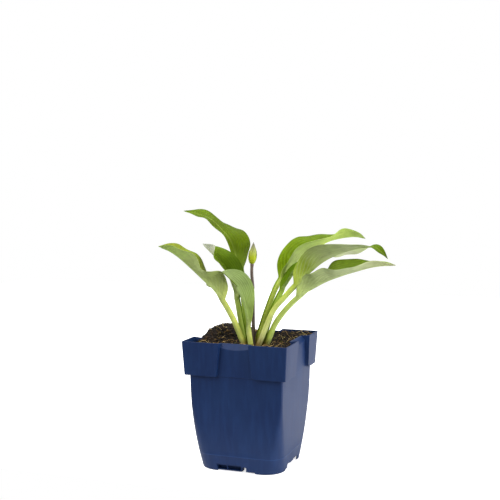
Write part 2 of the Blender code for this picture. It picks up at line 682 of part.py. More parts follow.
clear_scene()
make_pot()
make_soil()
crown_solid("crown", 0.0, 0.0, make_material("rootstock", (0.20, 0.14, 0.06), 0.7))
green = make_material("hosta leaf", (0.17, 0.30, 0.05), 0.45)
for leaf_name, leaf_values in LEAVES.items():
    make_leaf(leaf_name, leaf_values, green)
make_stem()
bud_green = make_material("yellow-green bud", (0.42, 0.46, 0.06), 0.5)
make_bud(bud_green)
bract_green = make_material("grey-green bract", (0.30, 0.33, 0.12), 0.55)
for bract_name, (bract_middle, bract_spread, bract_top) in BRACTS.items():
    make_bract(bract_name, bract_middle, bract_spread, bract_top, bract_green)
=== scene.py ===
"""Looks for a young hosta in its square blue nursery pot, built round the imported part."""
import math

import bmesh
import bpy
import numpy as np
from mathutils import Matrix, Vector, noise


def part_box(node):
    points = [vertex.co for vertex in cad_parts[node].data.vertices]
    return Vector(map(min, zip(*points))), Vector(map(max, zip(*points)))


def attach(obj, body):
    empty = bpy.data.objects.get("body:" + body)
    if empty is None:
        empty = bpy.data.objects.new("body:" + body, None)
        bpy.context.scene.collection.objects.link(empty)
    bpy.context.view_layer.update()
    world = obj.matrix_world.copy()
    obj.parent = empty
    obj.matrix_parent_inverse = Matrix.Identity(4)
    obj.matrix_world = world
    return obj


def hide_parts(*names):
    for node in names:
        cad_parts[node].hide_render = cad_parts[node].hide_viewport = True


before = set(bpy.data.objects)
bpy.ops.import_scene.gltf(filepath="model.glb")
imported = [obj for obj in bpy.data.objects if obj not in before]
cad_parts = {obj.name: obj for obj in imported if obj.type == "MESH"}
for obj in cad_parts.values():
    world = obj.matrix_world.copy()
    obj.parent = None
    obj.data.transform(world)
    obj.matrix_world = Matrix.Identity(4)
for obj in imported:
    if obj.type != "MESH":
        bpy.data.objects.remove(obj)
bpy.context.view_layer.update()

MM = 0.001


# ======================================================================= the pot
# A 9 cm square nursery pot: one injection moulding in dark blue polypropylene, 1 mm
# thick. Four flags stand out at the rim's corners, the panels between them dip in a
# scoop, and the base has rounded feet, raised edges, a notch and drain windows.

pot_low, pot_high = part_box("pot")
RIM_HALF = (pot_high.x - pot_low.x) / 2
RIM_TOP = pot_high.z
WALL = 1.0 * MM
FLAG_FOOT = RIM_TOP - 28.0 * MM
FLAG_DRAFT = 1.65 * MM
FLAG_CORNER = 1.0 * MM
RECESS_FLARE = 2.6 * MM             # how much wider a gap between flags is at their foot
STEP_DRAFT = 0.5 * MM
BODY_TOP_HALF = 40.5 * MM
PANEL = BODY_TOP_HALF + 0.6 * MM    # panel between the flags, from the axis
SCOOP_DEPTH = 5.7 * MM
SCOOP_ENDS = 4.0 * MM
SCOOP_LEAN = 2.6 * MM
LIP_DROP = 0.7 * MM
BODY_TAPER = 2.0 * MM
BODY_TUCK = 2.7 * MM
BODY_CORNER = 2.0 * MM
BASE_CORNER = 17.0 * MM
CORNER_START = 60 * MM
MOULD_LINE = 13.2 * MM              # height of the faint raised line round the base
MOULD_LINE_PROUD = 0.22 * MM
MOULD_LINE_SPAN = (-29 * MM, 19 * MM)       # where it runs along each side
GUTTER = (-18.4 * MM, 4.3 * MM)     # trough behind the drain windows, along the side
GUTTER_HEIGHT = (0.9 * MM, 5.4 * MM)
FOOT_OUT = 35.8 * MM                # the wall's outer face at the base, from the axis
GUTTER_IN = FOOT_OUT - 5 * MM
RIBS = ((-11 * MM, -6.5 * MM), (0.5 * MM, 9.5 * MM))
CENTRE_CUP = ((7.4, 1.0), (8.0, 1.6), (8.4, 5.5))       # radius and height in mm
FLOOR = (5.0 * MM, 6.0 * MM)

# Columns of the moulding on one side, from the middle of a corner to the next: their
# place at the base, where they bound the windows and the notch, and under the flags. The
# front and back are alike, and so are the two other sides, whose flags stand further apart.
BASE_PLACES = (-30.8, -28.6, -25.5, -21.5, -17.4, -13.0, -8.7, -8.1, -4.3, -0.5, 3.3, 3.9,
               4.6, 5.8, 7.0, 7.7, 11.5, 15.5, 18.5, 21.5, 24.0, 26.4, 28.4, 29.8)
TOP_PLACES = ((-39.9, -39.6, -39.1, -38.5, -30, -23, -17.8, -17.2, -11.5, -7.5, -3.7, -1.4,
               -0.5, 1.1, 2.8, 3.7, 11, 17.2, 17.8, 23, 30, 38.5, 39.1, 39.6),
              (-39.9, -39.6, -39.1, -38.5, -30, -23, -17.2, -16.6, -9, -5, -1, 1.5,
               3.5, 5.5, 7.5, 9.5, 16, 24, 24.6, 29, 34, 38.5, 39.1, 39.6))
RECESSES = ((-12.3 * MM, 12.3 * MM), (-11.7 * MM, 18.5 * MM))    # gaps at the rim
LEFT_STEP, RIGHT_STEP = 7, 17       # the panel's first and last column
BASE_LEVELS = (0, 0.9, 1.3, 4.1, 4.7, 5.8)      # mm: foot, edge, sill, notch, window
BODY_LEVELS = (8.5, 12.6, 13.2, 13.8, 18, 23, 29, 36, 44, 53, 62, 71, 77)


def four_sides(front, side):
    """The points of the front and of the right side, repeated right round the pot."""
    ring = []
    for quarter in range(4):
        c, s = ((1, 0), (0, 1), (-1, 0), (0, -1))[quarter]
        ring += [(x * c - y * s, x * s + y * c, z) for x, y, z in (front, side)[quarter % 2]]
    return ring


def body_ring(z, inset=0.0, proud=0.0):
    """One loop round the body: flat sides, with corners that open towards the base."""
    down = 1 - min(z / FLAG_FOOT, 1)
    half = BODY_TOP_HALF - BODY_TAPER * down - BODY_TUCK * down ** 3 - inset
    radius = BODY_CORNER + (BASE_CORNER - BODY_CORNER) * max(1 - z / CORNER_START, 0) ** 1.4
    radius = max(radius - inset, 0.8 * MM)
    straight = half - radius
    reach = straight + radius * math.sqrt(0.5)
    rise = min(max((z - 8 * MM) / (62 * MM), 0), 1)
    rise = rise * rise * (3 - 2 * rise)
    sides = []
    for places in TOP_PLACES:
        points = []
        for low, high in zip(BASE_PLACES, places):
            x = reach * (low / -BASE_PLACES[0] * (1 - rise) + high / -places[0] * rise)
            over = max(abs(x) - straight, 0)
            y = straight + math.sqrt(max(radius ** 2 - over ** 2, 0))
            lift = proud if MOULD_LINE_SPAN[0] < x < MOULD_LINE_SPAN[1] else 0
            points.append((x, -y - lift, z))
        sides.append(points)
    return four_sides(*sides)


def band_ring(z, inset=0.0, panel=PANEL, panel_z=None):
    """One loop round the rim, where the flags stand out from the panels."""
    up = (z - FLAG_FOOT) / (RIM_TOP - FLAG_FOOT)
    flag = RIM_HALF - FLAG_DRAFT * (1 - up) - inset
    low = max(1 - (z - FLAG_FOOT) / (2.6 * MM), 0)          # the flag's rounded foot
    wider = RECESS_FLARE * (1 - up) + inset
    radius = max(FLAG_CORNER - inset, 0.6 * MM)
    straight = flag - radius
    sides = []
    for places, (left, right) in zip(TOP_PLACES, RECESSES):
        left -= wider + 0.8 * MM * low ** 2
        right += wider + 2.8 * MM * low ** 2
        points = []
        for j, high in enumerate(places):
            if LEFT_STEP <= j <= RIGHT_STEP:
                part = (high - places[LEFT_STEP]) / (places[RIGHT_STEP] - places[LEFT_STEP])
                x = left + (right - left) * part
                points.append((x, -panel, panel_z(2 * part - 1) if panel_z else z))
            elif 4 <= j <= 20:
                end = left - STEP_DRAFT if j < LEFT_STEP else right + STEP_DRAFT
                share = (0, 0.3, 0.65)[6 - j if j < LEFT_STEP else j - 18]
                points.append((end * (1 - share) + math.copysign(straight, high) * share,
                               -flag, z))
            else:
                turn = math.radians((45, 30, 15, 0, 0, 15, 30)[j if j < 4 else j - 17])
                points.append((math.copysign(straight + radius * math.sin(turn), high),
                               -straight - radius * math.cos(turn), z))
        sides.append(points)
    return four_sides(*sides)


def scoop(part):
    """Height of the dipped edge across the panel, from -1 at one flag to 1 at the next."""
    return RIM_TOP - SCOOP_ENDS - (SCOOP_DEPTH - SCOOP_ENDS) * (1 - part ** 2)


def pot_rings():
    outside = [body_ring(z * MM) for z in BASE_LEVELS]
    outside += [body_ring(z * MM, proud=MOULD_LINE_PROUD if z * MM == MOULD_LINE else 0)
                for z in BODY_LEVELS]
    outside.append(body_ring(FLAG_FOOT))
    outside += [band_ring(FLAG_FOOT + h * MM) for h in (0, 0.7, 1.6, 2.8, 9, 16)]
    outside.append(band_ring(RIM_TOP - SCOOP_DEPTH, panel_z=scoop))
    lip = PANEL - SCOOP_LEAN
    outside.append(band_ring(RIM_TOP, panel=lip, panel_z=lambda part: RIM_TOP - LIP_DROP))
    inside = [band_ring(RIM_TOP, WALL, lip - WALL, lambda part: RIM_TOP - LIP_DROP)]
    inside.append(band_ring(RIM_TOP - SCOOP_DEPTH - 1.3 * MM, WALL, PANEL - WALL))
    inside += [band_ring(FLAG_FOOT + h * MM, WALL, PANEL - WALL) for h in (12, 4, 1)]
    inside.append(body_ring(FLAG_FOOT + WALL, WALL))
    inside += [body_ring(z * MM, WALL) for z in reversed(BASE_LEVELS + BODY_LEVELS)]
    return outside + inside


def cut_cells():
    """Cells of the base that the mould leaves open, as (level, column right round)."""
    front = {(0, j) for j in range(4, 17)}                          # raised edge
    front |= {(k, j) for k in (2, 3, 4) for j in (4, 5, 7, 8, 9)}   # two drain windows
    front |= {(k, j) for k in (1, 2) for j in range(11, 15)} | {(3, 12), (3, 13)}   # notch
    side = {(0, j) for j in range(4, 17)} | {(k, j) for k in (1, 2) for j in range(5, 17)}
    per_side = len(BASE_PLACES)
    return {(k, j + per_side * quarter) for quarter in range(4)
            for k, j in (front, side)[quarter % 2]}


def pot_shell(builder):
    rings = pot_rings()
    count, around = len(rings), len(rings[0])
    grid = [[builder.verts.new(point) for point in ring] for ring in rings]
    cut = cut_cells()
    for k in range(count):
        above = (k + 1) % count
        level = k if k < len(BASE_LEVELS) else count - 2 - k
        for j in range(around):
            after = (j + 1) % around
            open_here = (0, j) in cut if k == count - 1 else (level, j) in cut
            if not open_here:
                builder.faces.new((grid[k][j], grid[k][after],
                                   grid[above][after], grid[above][j]))
    for k in range(len(BASE_LEVELS)):
        out_low, out_high = grid[k], grid[k + 1]
        in_low, in_high = grid[count - 1 - k], grid[count - 2 - k]
        for j in range(around):
            after = (j + 1) % around
            if ((k, j) in cut) != ((k, j - 1 if j else around - 1) in cut):
                builder.faces.new((out_low[j], out_high[j], in_high[j], in_low[j]))
            if k and ((k, j) in cut) != ((k - 1, j) in cut):
                builder.faces.new((out_low[j], out_low[after], in_low[after], in_low[j]))


def loft(builder, loops, capped=True):
    """Skins closed loops of equal length one to the next, and closes both ends."""
    rows = [[builder.verts.new(point) for point in loop] for loop in loops]
    for row, above in zip(rows, rows[1:]):
        for i in range(len(row)):
            after = (i + 1) % len(row)
            builder.faces.new((row[i], row[after], above[after], above[i]))
    if capped:
        builder.faces.new(rows[0])
        builder.faces.new(rows[-1])
    return rows


def box_on_sides(builder, along, out, height, quarters=(0, 2)):
    """The same block on some of the sides: along it, out from the axis, and up."""
    (u0, u1), (d0, d1) = along, out
    corners = ((u0, -d1), (u1, -d1), (u1, -d0), (u0, -d0))
    for quarter in quarters:
        rings = [[(x, y, z) for x, y in corners] for z in height]
        loft(builder, [four_sides(ring, ring)[quarter * 4:][:4] for ring in rings])


def circle(radius, z, count=40):
    return [(radius * math.cos(2 * math.pi * i / count),
             radius * math.sin(2 * math.pi * i / count), z) for i in range(count)]


def solid_object(name, builder, smooth=35):
    """A named object from a bmesh, its faces pointing outwards."""
    bmesh.ops.recalc_face_normals(builder, faces=builder.faces)
    mesh = bpy.data.meshes.new(name)
    builder.to_mesh(mesh)
    builder.free()
    mesh.shade_smooth()
    mesh.set_sharp_from_angle(angle=math.radians(smooth))
    thing = bpy.data.objects.new(name, mesh)
    bpy.context.scene.collection.objects.link(thing)
    return thing


def make_pot():
    builder = bmesh.new()
    pot_shell(builder)
    loft(builder, [body_ring(z, WALL / 2) for z in FLOOR])
    left, right = GUTTER
    box_on_sides(builder, GUTTER, (GUTTER_IN - WALL, GUTTER_IN), GUTTER_HEIGHT)
    box_on_sides(builder, GUTTER, (GUTTER_IN - WALL, FOOT_OUT - 0.5 * MM),
                 (0.9 * MM, 1.45 * MM))
    for end in (left, right - WALL):
        box_on_sides(builder, (end, end + WALL), (GUTTER_IN, FOOT_OUT - 0.6 * MM),
                     (1.0 * MM, 5.4 * MM))
    for rib in RIBS:
        box_on_sides(builder, rib, (GUTTER_IN, FOOT_OUT - 1.6 * MM),
                     (1.2 * MM, 5.4 * MM), (1, 3))
    loft(builder, [circle(radius * MM, z * MM) for radius, z in CENTRE_CUP])
    pot = solid_object("moulded_pot", builder, smooth=24)
    edges = pot.modifiers.new("mould radius", "BEVEL")
    edges.width = 0.22 * MM
    edges.segments = 2
    edges.limit_method = "ANGLE"
    edges.angle_limit = math.radians(40)
    return pot


def colour(code):
    """An sRGB hex value as the linear colour that a shader takes."""
    parts = [int(code[i:i + 2], 16) / 255 for i in (1, 3, 5)]
    return tuple(p / 12.92 if p <= 0.04045 else ((p + 0.055) / 1.055) ** 2.4
                 for p in parts) + (1.0,)


def node(tree, kind, inputs=None, **settings):
    """Adds a node to the tree, with its settings and then its input values and links. A
    node given as an input is linked by its first output."""
    made = tree.nodes.new(kind)
    for name, value in settings.items():
        if name == "ramp":
            ramp = made.color_ramp.elements
            while len(ramp) < len(value):
                ramp.new(0.5)
            for stop, (place, tint) in zip(ramp, value):
                stop.position = place
                stop.color = colour(tint) if isinstance(tint, str) else (tint,) * 3 + (1,)
        else:
            setattr(made, name, value)
    for name, value in (inputs or {}).items():
        value = value.outputs[0] if isinstance(value, bpy.types.Node) else value
        if isinstance(value, bpy.types.NodeSocket):
            tree.links.new(value, made.inputs[name])
        else:
            made.inputs[name].default_value = value
    return made


def new_material(name):
    material = bpy.data.materials.new(name)
    material.use_nodes = True
    material.node_tree.nodes.clear()
    return material, material.node_tree


def polypropylene():
    """Injection-moulded polypropylene, coloured dark blue in the mass. The mould's fine
    matt grain gives it a soft sheen. Handling leaves paler upright scuffs and dust. A
    painted highlight makes a thin band along the raised mould line paler."""
    material, tree = new_material("moulded_blue_polypropylene")
    place = node(tree, "ShaderNodeTexCoord").outputs["Object"]
    upright = node(tree, "ShaderNodeMapping", {"Vector": place, "Scale": (1, 1, 0.12)})
    scuffs = node(tree, "ShaderNodeTexNoise", {
        "Vector": upright, "Scale": 260, "Detail": 5, "Roughness": 0.6})
    clouds = node(tree, "ShaderNodeTexNoise", {
        "Vector": place, "Scale": 32, "Detail": 3, "Roughness": 0.5})
    worn = node(tree, "ShaderNodeValToRGB", {
        "Fac": scuffs}, ramp=((0.42, 0.0), (0.75, 1.0)))
    deep = node(tree, "ShaderNodeValToRGB", {
        "Fac": clouds}, ramp=((0.35, "#092047"), (0.7, "#0c254c")))
    # Painted highlight: colour within 0.3 mm of the mould line's height is mixed towards the
    # paler blue, standing in for light on the raised line.
    height = node(tree, "ShaderNodeSeparateXYZ", {"Vector": place}).outputs["Z"]
    mould_line_painted_highlight = node(tree, "ShaderNodeMath", {
        0: height, 1: MOULD_LINE, 2: 0.3 * MM}, operation="COMPARE")
    line = node(tree, "ShaderNodeMath", {0: mould_line_painted_highlight, 1: 0.38}, operation="MULTIPLY")
    # share: the real scuffs and the painted highlight together set how far the blue pales.
    share = node(tree, "ShaderNodeMath", {
        0: worn, 1: 0.22, 2: line}, operation="MULTIPLY_ADD")
    tint = node(tree, "ShaderNodeMix", {
        0: share, 6: deep, 7: colour("#1f3c6c")}, data_type="RGBA")
    rough = node(tree, "ShaderNodeMapRange", {
        "Value": clouds, "To Min": 0.46, "To Max": 0.56})
    grain = node(tree, "ShaderNodeTexNoise", {"Vector": place, "Scale": 1500, "Detail": 2})
    bump = node(tree, "ShaderNodeBump", {
        "Height": grain, "Strength": 0.12, "Distance": 0.06 * MM})
    shader = node(tree, "ShaderNodeBsdfPrincipled", {
        "Base Color": tint.outputs[2], "Roughness": rough, "IOR": 1.49,
        "Specular IOR Level": 0.2, "Normal": bump})
    node(tree, "ShaderNodeOutputMaterial", {"Surface": shader})
    return material


moulded_pot = make_pot()
moulded_pot.data.materials.append(polypropylene())
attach(moulded_pot, "root")
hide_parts("pot")


# ======================================================================= the peat
# Potting compost of milled brown peat, packed by hand: crumbs, clods, bark chips and
# straw-coloured fibres. It lies a few millimetres under the rim and is heaped up in
# the back left corner.

crown_low, crown_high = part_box("crown")
CROWN_TOP = crown_high.z
CROWN_CENTRE = (crown_low + crown_high) / 2
SOIL_LEVEL = CROWN_TOP - 0.2 * MM
SOIL_BACK_RISE = 5.4 * MM
HEAP_CENTRE = (-31 * MM, 21 * MM)
HEAP_HEIGHT = 10.5 * MM
HEAP_SPREAD = 13 * MM
RIDGE_HEIGHT = 11.0 * MM            # beside the left wall
RIDGE_CENTRE = (-35 * MM, -6 * MM)
RIDGE_SPREAD = (7 * MM, 12 * MM)
GAP = 0.3 * MM
SOIL_RINGS = 90
SOIL_POINTS = 400
ROOT_BALL = (FLOOR[1] + GAP, 30 * MM, 60 * MM, FLAG_FOOT - MM)     # heights of its loops
SKIRT_FOOT = RIM_TOP - 12 * MM      # how far the loose peat reaches down the wall
LIP_HALF = 14 * MM                  # half the width of a panel's leaning lip
LIP_CLEAR = PANEL - WALL - GAP - SCOOP_LEAN     # how far out the peat may go under it


def soil_height(x, y):
    """Height of the raked surface, before its crumbs. It dips round the crown."""
    back = min(max(y / (40 * MM), 0), 1)
    heap = math.exp(-((x - HEAP_CENTRE[0]) ** 2 + (y - HEAP_CENTRE[1]) ** 2)
                    / (2 * HEAP_SPREAD ** 2))
    ridge = math.exp(-((x - RIDGE_CENTRE[0]) / RIDGE_SPREAD[0]) ** 2 / 2
                     - ((y - RIDGE_CENTRE[1]) / RIDGE_SPREAD[1]) ** 2 / 2)
    far = math.hypot(x - CROWN_CENTRE.x, y - CROWN_CENTRE.y)
    away = min(max((far - 13 * MM) / (12 * MM), 0), 1)
    dip = 2.2 * MM * min(max((14 * MM - far) / (4 * MM), 0), 1)
    return SOIL_LEVEL - dip + away * (SOIL_BACK_RISE * back ** 2 + HEAP_HEIGHT * heap
                                      + RIDGE_HEIGHT * ridge)


def clods(x, y):
    """Small-scale relief of the peat: clods of 5 mm with crumbs of 1.5 mm on them."""
    place = Vector((x, y, 0.3)) / MM
    return (0.9 * MM * noise.noise(place / 5.2) + 0.55 * MM * noise.noise(place / 2.3)
            + 0.3 * MM * noise.noise(place / 1.1))


def soil_edge():
    """The line where the peat meets the pot's inner wall, as evenly spaced points."""
    ring = band_ring(SOIL_LEVEL, WALL + GAP, PANEL - WALL - GAP - 0.5 * MM)
    corners = np.array([(x, y) for x, y, z in ring + ring[:1]])
    run = np.concatenate([[0], np.cumsum(np.linalg.norm(np.diff(corners, axis=0), axis=1))])
    even = np.linspace(0, run[-1], SOIL_POINTS, endpoint=False)
    return np.stack([np.interp(even, run, corners[:, k]) for k in (0, 1)], axis=1)


def make_soil():
    edge = soil_edge()
    builder = bmesh.new()
    loft(builder, [body_ring(z, WALL + GAP) for z in ROOT_BALL])
    loops = [[(x * 0.985, y * 0.985, SKIRT_FOOT) for x, y in edge]]
    for i in range(SOIL_RINGS):
        loop = []
        for x, y in edge * (1 - (i / SOIL_RINGS) ** 1.15):
            z = soil_height(x, y) + clods(x, y)
            if min(abs(x), abs(y)) < LIP_HALF and z > RIM_TOP - SCOOP_DEPTH:
                squeeze = min(1, LIP_CLEAR / max(abs(x), abs(y)))
                x, y = x * squeeze, y * squeeze
            loop.append((x, y, z))
        loops.append(loop)
    loft(builder, loops)
    return solid_object("peat_bed", builder, smooth=80)


def natural_matter(name, stops, patches, relief, bump, rough, sheen, upright=1.0):
    """A grown or rotted surface with patches of tone and a finer relief. Each is noise of
    (cells per metre, detail, roughness), drawn out upwards where upright is under 1, and
    bump is the relief's strength and depth."""
    material, tree = new_material(name)
    place = node(tree, "ShaderNodeTexCoord").outputs["Object"]
    drawn = node(tree, "ShaderNodeMapping", {"Vector": place, "Scale": (1, 1, upright)})
    tones, grain = [node(tree, "ShaderNodeTexNoise", {
        "Vector": drawn, "Scale": cells, "Detail": detail, "Roughness": raggedness})
        for cells, detail, raggedness in (patches, relief)]
    tint = node(tree, "ShaderNodeValToRGB", {"Fac": tones}, ramp=stops)
    raised = node(tree, "ShaderNodeBump", {
        "Height": grain, "Strength": bump[0], "Distance": bump[1]})
    shader = node(tree, "ShaderNodeBsdfPrincipled", {
        "Base Color": tint, "Roughness": rough, "Specular IOR Level": sheen,
        "Normal": raised})
    node(tree, "ShaderNodeOutputMaterial", {"Surface": shader})
    return material


def plant_litter(name, stops, rough):
    """Dried plant bits, each of one tone of its own, paler on its raised side."""
    material, tree = new_material(name)
    tone = node(tree, "ShaderNodeAttribute", attribute_name="tone")
    place = node(tree, "ShaderNodeTexCoord").outputs["Object"]
    speckle = node(tree, "ShaderNodeTexNoise", {
        "Vector": place, "Scale": 1400, "Detail": 3, "Roughness": 0.6})
    spread = node(tree, "ShaderNodeMapRange", {
        "Value": speckle, "From Min": 0.3, "From Max": 0.7, "To Min": -0.12,
        "To Max": 0.12})
    mixed = node(tree, "ShaderNodeMath", {
        0: tone.outputs["Fac"], 1: spread}, operation="ADD", use_clamp=True)
    tint = node(tree, "ShaderNodeValToRGB", {"Fac": mixed}, ramp=stops)
    bump = node(tree, "ShaderNodeBump", {
        "Height": speckle, "Strength": 0.6, "Distance": 0.2 * MM})
    shader = node(tree, "ShaderNodeBsdfPrincipled", {
        "Base Color": tint, "Roughness": rough, "Specular IOR Level": 0.3, "Normal": bump})
    node(tree, "ShaderNodeOutputMaterial", {"Surface": shader})
    return material


def soil_surface():
    """The bed's upper faces on their own, for the litter to lie on."""
    builder = bmesh.new()
    edge = soil_edge()[::4] * 0.93
    loft(builder, [[(x, y, soil_height(x, y) + clods(x, y)) for x, y in edge * (1 - i / 30)]
                   for i in range(30)], capped=False)
    surface = solid_object("peat_surface", builder)
    for polygon in surface.data.polygons:
        if polygon.normal.z < 0:
            surface.data.flip_normals()
            break
    return surface


LITTER_INPUTS = (
    ("Geometry", "Geometry"), ("Per square metre", "Float"), ("Least size", "Float"),
    ("Most size", "Float"), ("Seed", "Int"), ("Bend", "Float"), ("Lift", "Float"),
    ("Thickness", "Float"), ("Material", "Material"))


def litter_tree(name, shape, waves, centre, finish):
    """A tree that drops one small shape all over a surface, each copy with its own turn,
    size and tone, and bends them all by noise of so many waves per metre. shape(tree)
    makes the shape, and finish(tree, given, bent) gives it its body."""
    tree = bpy.data.node_groups.new(name, "GeometryNodeTree")
    face = tree.interface
    for label, kind in LITTER_INPUTS:
        face.new_socket(label, in_out="INPUT", socket_type="NodeSocket" + kind)
    face.new_socket("Geometry", in_out="OUTPUT", socket_type="NodeSocketGeometry")
    given = node(tree, "NodeGroupInput").outputs
    points = node(tree, "GeometryNodeDistributePointsOnFaces", {
        "Mesh": given["Geometry"], "Density": given["Per square metre"],
        "Seed": given["Seed"]})
    turn = node(tree, "FunctionNodeRandomValue", {
        0: (-0.5, -0.5, 0), 1: (0.5, 0.5, 6.283), "Seed": given["Seed"]},
        data_type="FLOAT_VECTOR")
    size = node(tree, "FunctionNodeRandomValue", {
        2: given["Least size"], 3: given["Most size"], "Seed": given["Seed"]},
        data_type="FLOAT")
    placed = node(tree, "GeometryNodeInstanceOnPoints", {
        "Points": points.outputs["Points"], "Instance": shape(tree), "Rotation": turn,
        "Scale": size.outputs[1]})
    tone = node(tree, "FunctionNodeRandomValue", {"Seed": given["Seed"]}, data_type="FLOAT")
    toned = node(tree, "GeometryNodeStoreNamedAttribute", {
        "Geometry": placed, "Name": "tone", "Value": tone.outputs[1]}, data_type="FLOAT",
        domain="INSTANCE")
    real = node(tree, "GeometryNodeRealizeInstances", {"Geometry": toned})
    place = node(tree, "GeometryNodeInputPosition")
    lumps = node(tree, "ShaderNodeTexNoise", {"Vector": place, "Scale": waves, "Detail": 1})
    centred = node(tree, "ShaderNodeVectorMath", {
        0: lumps.outputs["Color"], 1: centre}, operation="SUBTRACT")
    offset = node(tree, "ShaderNodeVectorMath", {
        0: centred, "Scale": given["Bend"]}, operation="SCALE")
    bent = node(tree, "GeometryNodeSetPosition", {"Geometry": real, "Offset": offset})
    dressed = node(tree, "GeometryNodeSetMaterial", {
        "Geometry": finish(tree, given, bent), "Material": given["Material"]})
    node(tree, "NodeGroupOutput", {0: dressed})
    return tree


def crumb_shape(tree):
    ball = node(tree, "GeometryNodeMeshUVSphere", {
        "Segments": 7, "Rings": 4, "Radius": 0.5})
    return node(tree, "GeometryNodeTransform", {"Geometry": ball, "Scale": (1.0, 0.8, 0.6)})


def fibre_shape(tree):
    line = node(tree, "GeometryNodeCurvePrimitiveLine", {
        "Start": (-0.5, 0, 0), "End": (0.5, 0, 0)})
    return node(tree, "GeometryNodeResampleCurve", {"Curve": line, "Count": 9})


def fibre_body(tree, given, bent):
    """Lifts a fibre's line clear of the peat and gives it its thickness."""
    lift = node(tree, "ShaderNodeCombineXYZ", {"Z": given["Lift"]})
    raised = node(tree, "GeometryNodeSetPosition", {"Geometry": bent, "Offset": lift})
    round_wire = node(tree, "GeometryNodeCurvePrimitiveCircle", {
        "Resolution": 4, "Radius": given["Thickness"]})
    return node(tree, "GeometryNodeCurveToMesh", {
        "Curve": raised, "Profile Curve": round_wire, "Fill Caps": True})


def grow(name, base, tree, values):
    """Runs a geometry tree on a base mesh and keeps the result as a plain mesh."""
    carrier = bpy.data.objects.new(name + "_carrier", base.data.copy())
    bpy.context.scene.collection.objects.link(carrier)
    modifier = carrier.modifiers.new("grow", "NODES")
    modifier.node_group = tree
    for item in tree.interface.items_tree:
        if item.item_type == "SOCKET" and item.in_out == "INPUT" and item.name in values:
            modifier[item.identifier] = values[item.name]
    graph = bpy.context.evaluated_depsgraph_get()
    mesh = bpy.data.meshes.new_from_object(carrier.evaluated_get(graph), depsgraph=graph)
    bpy.data.objects.remove(carrier)
    mesh.name = name
    thing = bpy.data.objects.new(name, mesh)
    bpy.context.scene.collection.objects.link(thing)
    mesh.shade_smooth()
    return thing


# Milled brown peat: matt, nearly black where it's wet and rusty brown where it has
# dried, in patches of some 4 mm, with crumbs of 1 mm that catch the light.
peat_bed = make_soil()
peat_bed.data.materials.append(natural_matter(
    "milled_brown_peat",
    ((0.36, "#070504"), (0.5, "#16100b"), (0.6, "#261a11"), (0.75, "#3f2e1b")),
    (240, 6, 0.7), (950, 4, 0.7), (0.9, 0.6 * MM), rough=0.95, sheen=0.2))
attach(peat_bed, "root")
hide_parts("soil")

surface = soil_surface()
crumb_matter = plant_litter("peat_crumb", (
    (0.0, "#070504"), (0.45, "#140f0b"), (0.72, "#231810"), (0.88, "#3d2c1a"),
    (0.95, "#56431f"), (1.0, "#43441d")), 0.9)
straw = plant_litter("dry_straw_fibre", (
    (0.0, "#3d2a13"), (0.4, "#75572a"), (0.75, "#a38045"), (1.0, "#cdb67e")), 0.6)
crumbs = litter_tree("peat crumbs", crumb_shape, 900, (0.5, 0.5, 0.5),
                     lambda tree, given, bent: bent)
fibres = litter_tree("straw fibres", fibre_shape, 130, (0.5, 0.5, 0.42), fibre_body)
LITTER = (      # name, tree, material, seed, pieces per square metre; sizes, bend, radius
    ("fine_crumbs", crumbs, crumb_matter, 3, 300000, (0.7, 1.6), 0.9, 0),
    ("coarse_crumbs", crumbs, crumb_matter, 8, 60000, (1.6, 3.6), 0.9, 0),
    ("long_fibres", fibres, straw, 5, 7500, (7, 15), 7, 0.16),
    ("short_fibres", fibres, straw, 11, 16000, (3, 7), 7, 0.13),
)
for litter_name, tree, matter, seed, density, sizes, bend, radius in LITTER:
    litter = grow(litter_name, surface, tree, {
        "Per square metre": float(density), "Seed": seed,
        "Least size": sizes[0] * MM, "Most size": sizes[1] * MM, "Bend": bend * MM,
        "Lift": 0.4 * MM, "Thickness": radius * MM, "Material": matter})
    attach(litter, "root")
bpy.data.objects.remove(surface)


# ======================================================================= the crown
# The short rootstock that every stalk grows from: an oval knob of old leaf bases, brown
# and corky, with papery scales. It sits level with the peat, half buried.

CROWN_RADII = (13.5 * MM, 10.5 * MM)
CROWN_TURN = math.radians(20)
CROWN_RINGS = 26
CROWN_POINTS = 96


def make_crown():
    builder = bmesh.new()
    loops = []
    for i in range(CROWN_RINGS):
        level = i / (CROWN_RINGS - 1)
        swell = math.sin(math.pi * (0.12 + 0.86 * level)) ** 0.45
        z = crown_low.z + (crown_high.z - crown_low.z) * (1 - (1 - level) ** 1.6)
        loop = []
        for k in range(CROWN_POINTS):
            angle = 2 * math.pi * k / CROWN_POINTS
            scales = 1 + 0.05 * math.sin(9 * angle + 14 * level) * (1 - level)
            x = CROWN_RADII[0] * swell * scales * 0.94 * math.cos(angle)
            y = CROWN_RADII[1] * swell * scales * 0.94 * math.sin(angle)
            x, y = (CROWN_CENTRE.x + x * math.cos(CROWN_TURN) - y * math.sin(CROWN_TURN),
                    CROWN_CENTRE.y + x * math.sin(CROWN_TURN) + y * math.cos(CROWN_TURN))
            knob = noise.noise(Vector((x, y, z)) / (3.1 * MM))
            rough = noise.noise(Vector((x, y, z)) / (1.2 * MM))
            loop.append((x, y, z + (0.7 * knob + 0.3 * rough - 0.5) * MM * level))
        loops.append(loop)
    loft(builder, loops)
    return solid_object("corky_rootstock", builder, smooth=80)


# Living cork with old leaf scars: dull ochre brown, darker and purplish in the folds,
# in fibres that run upwards about 0.6 mm apart.
rootstock = make_crown()
rootstock.data.materials.append(natural_matter(
    "corky_rootstock_skin",
    ((0.3, "#1f150d"), (0.5, "#4d3a22"), (0.62, "#6d5c35"), (0.75, "#857043")),
    (420, 5, 0.65), (1600, 3, 0.5), (0.8, 0.3 * MM), rough=0.8, sheen=0.25, upright=0.3))
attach(rootstock, "root")
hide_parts("crown")


# ======================================================================= the leaves
# Eight young leaves, each one growth: a channelled stalk that widens into a soft blade
# with a sunken midrib and side veins that sweep from it and meet again at the tip. The
# upper face is grass green, the under face is bloomed grey-green with raised veins.

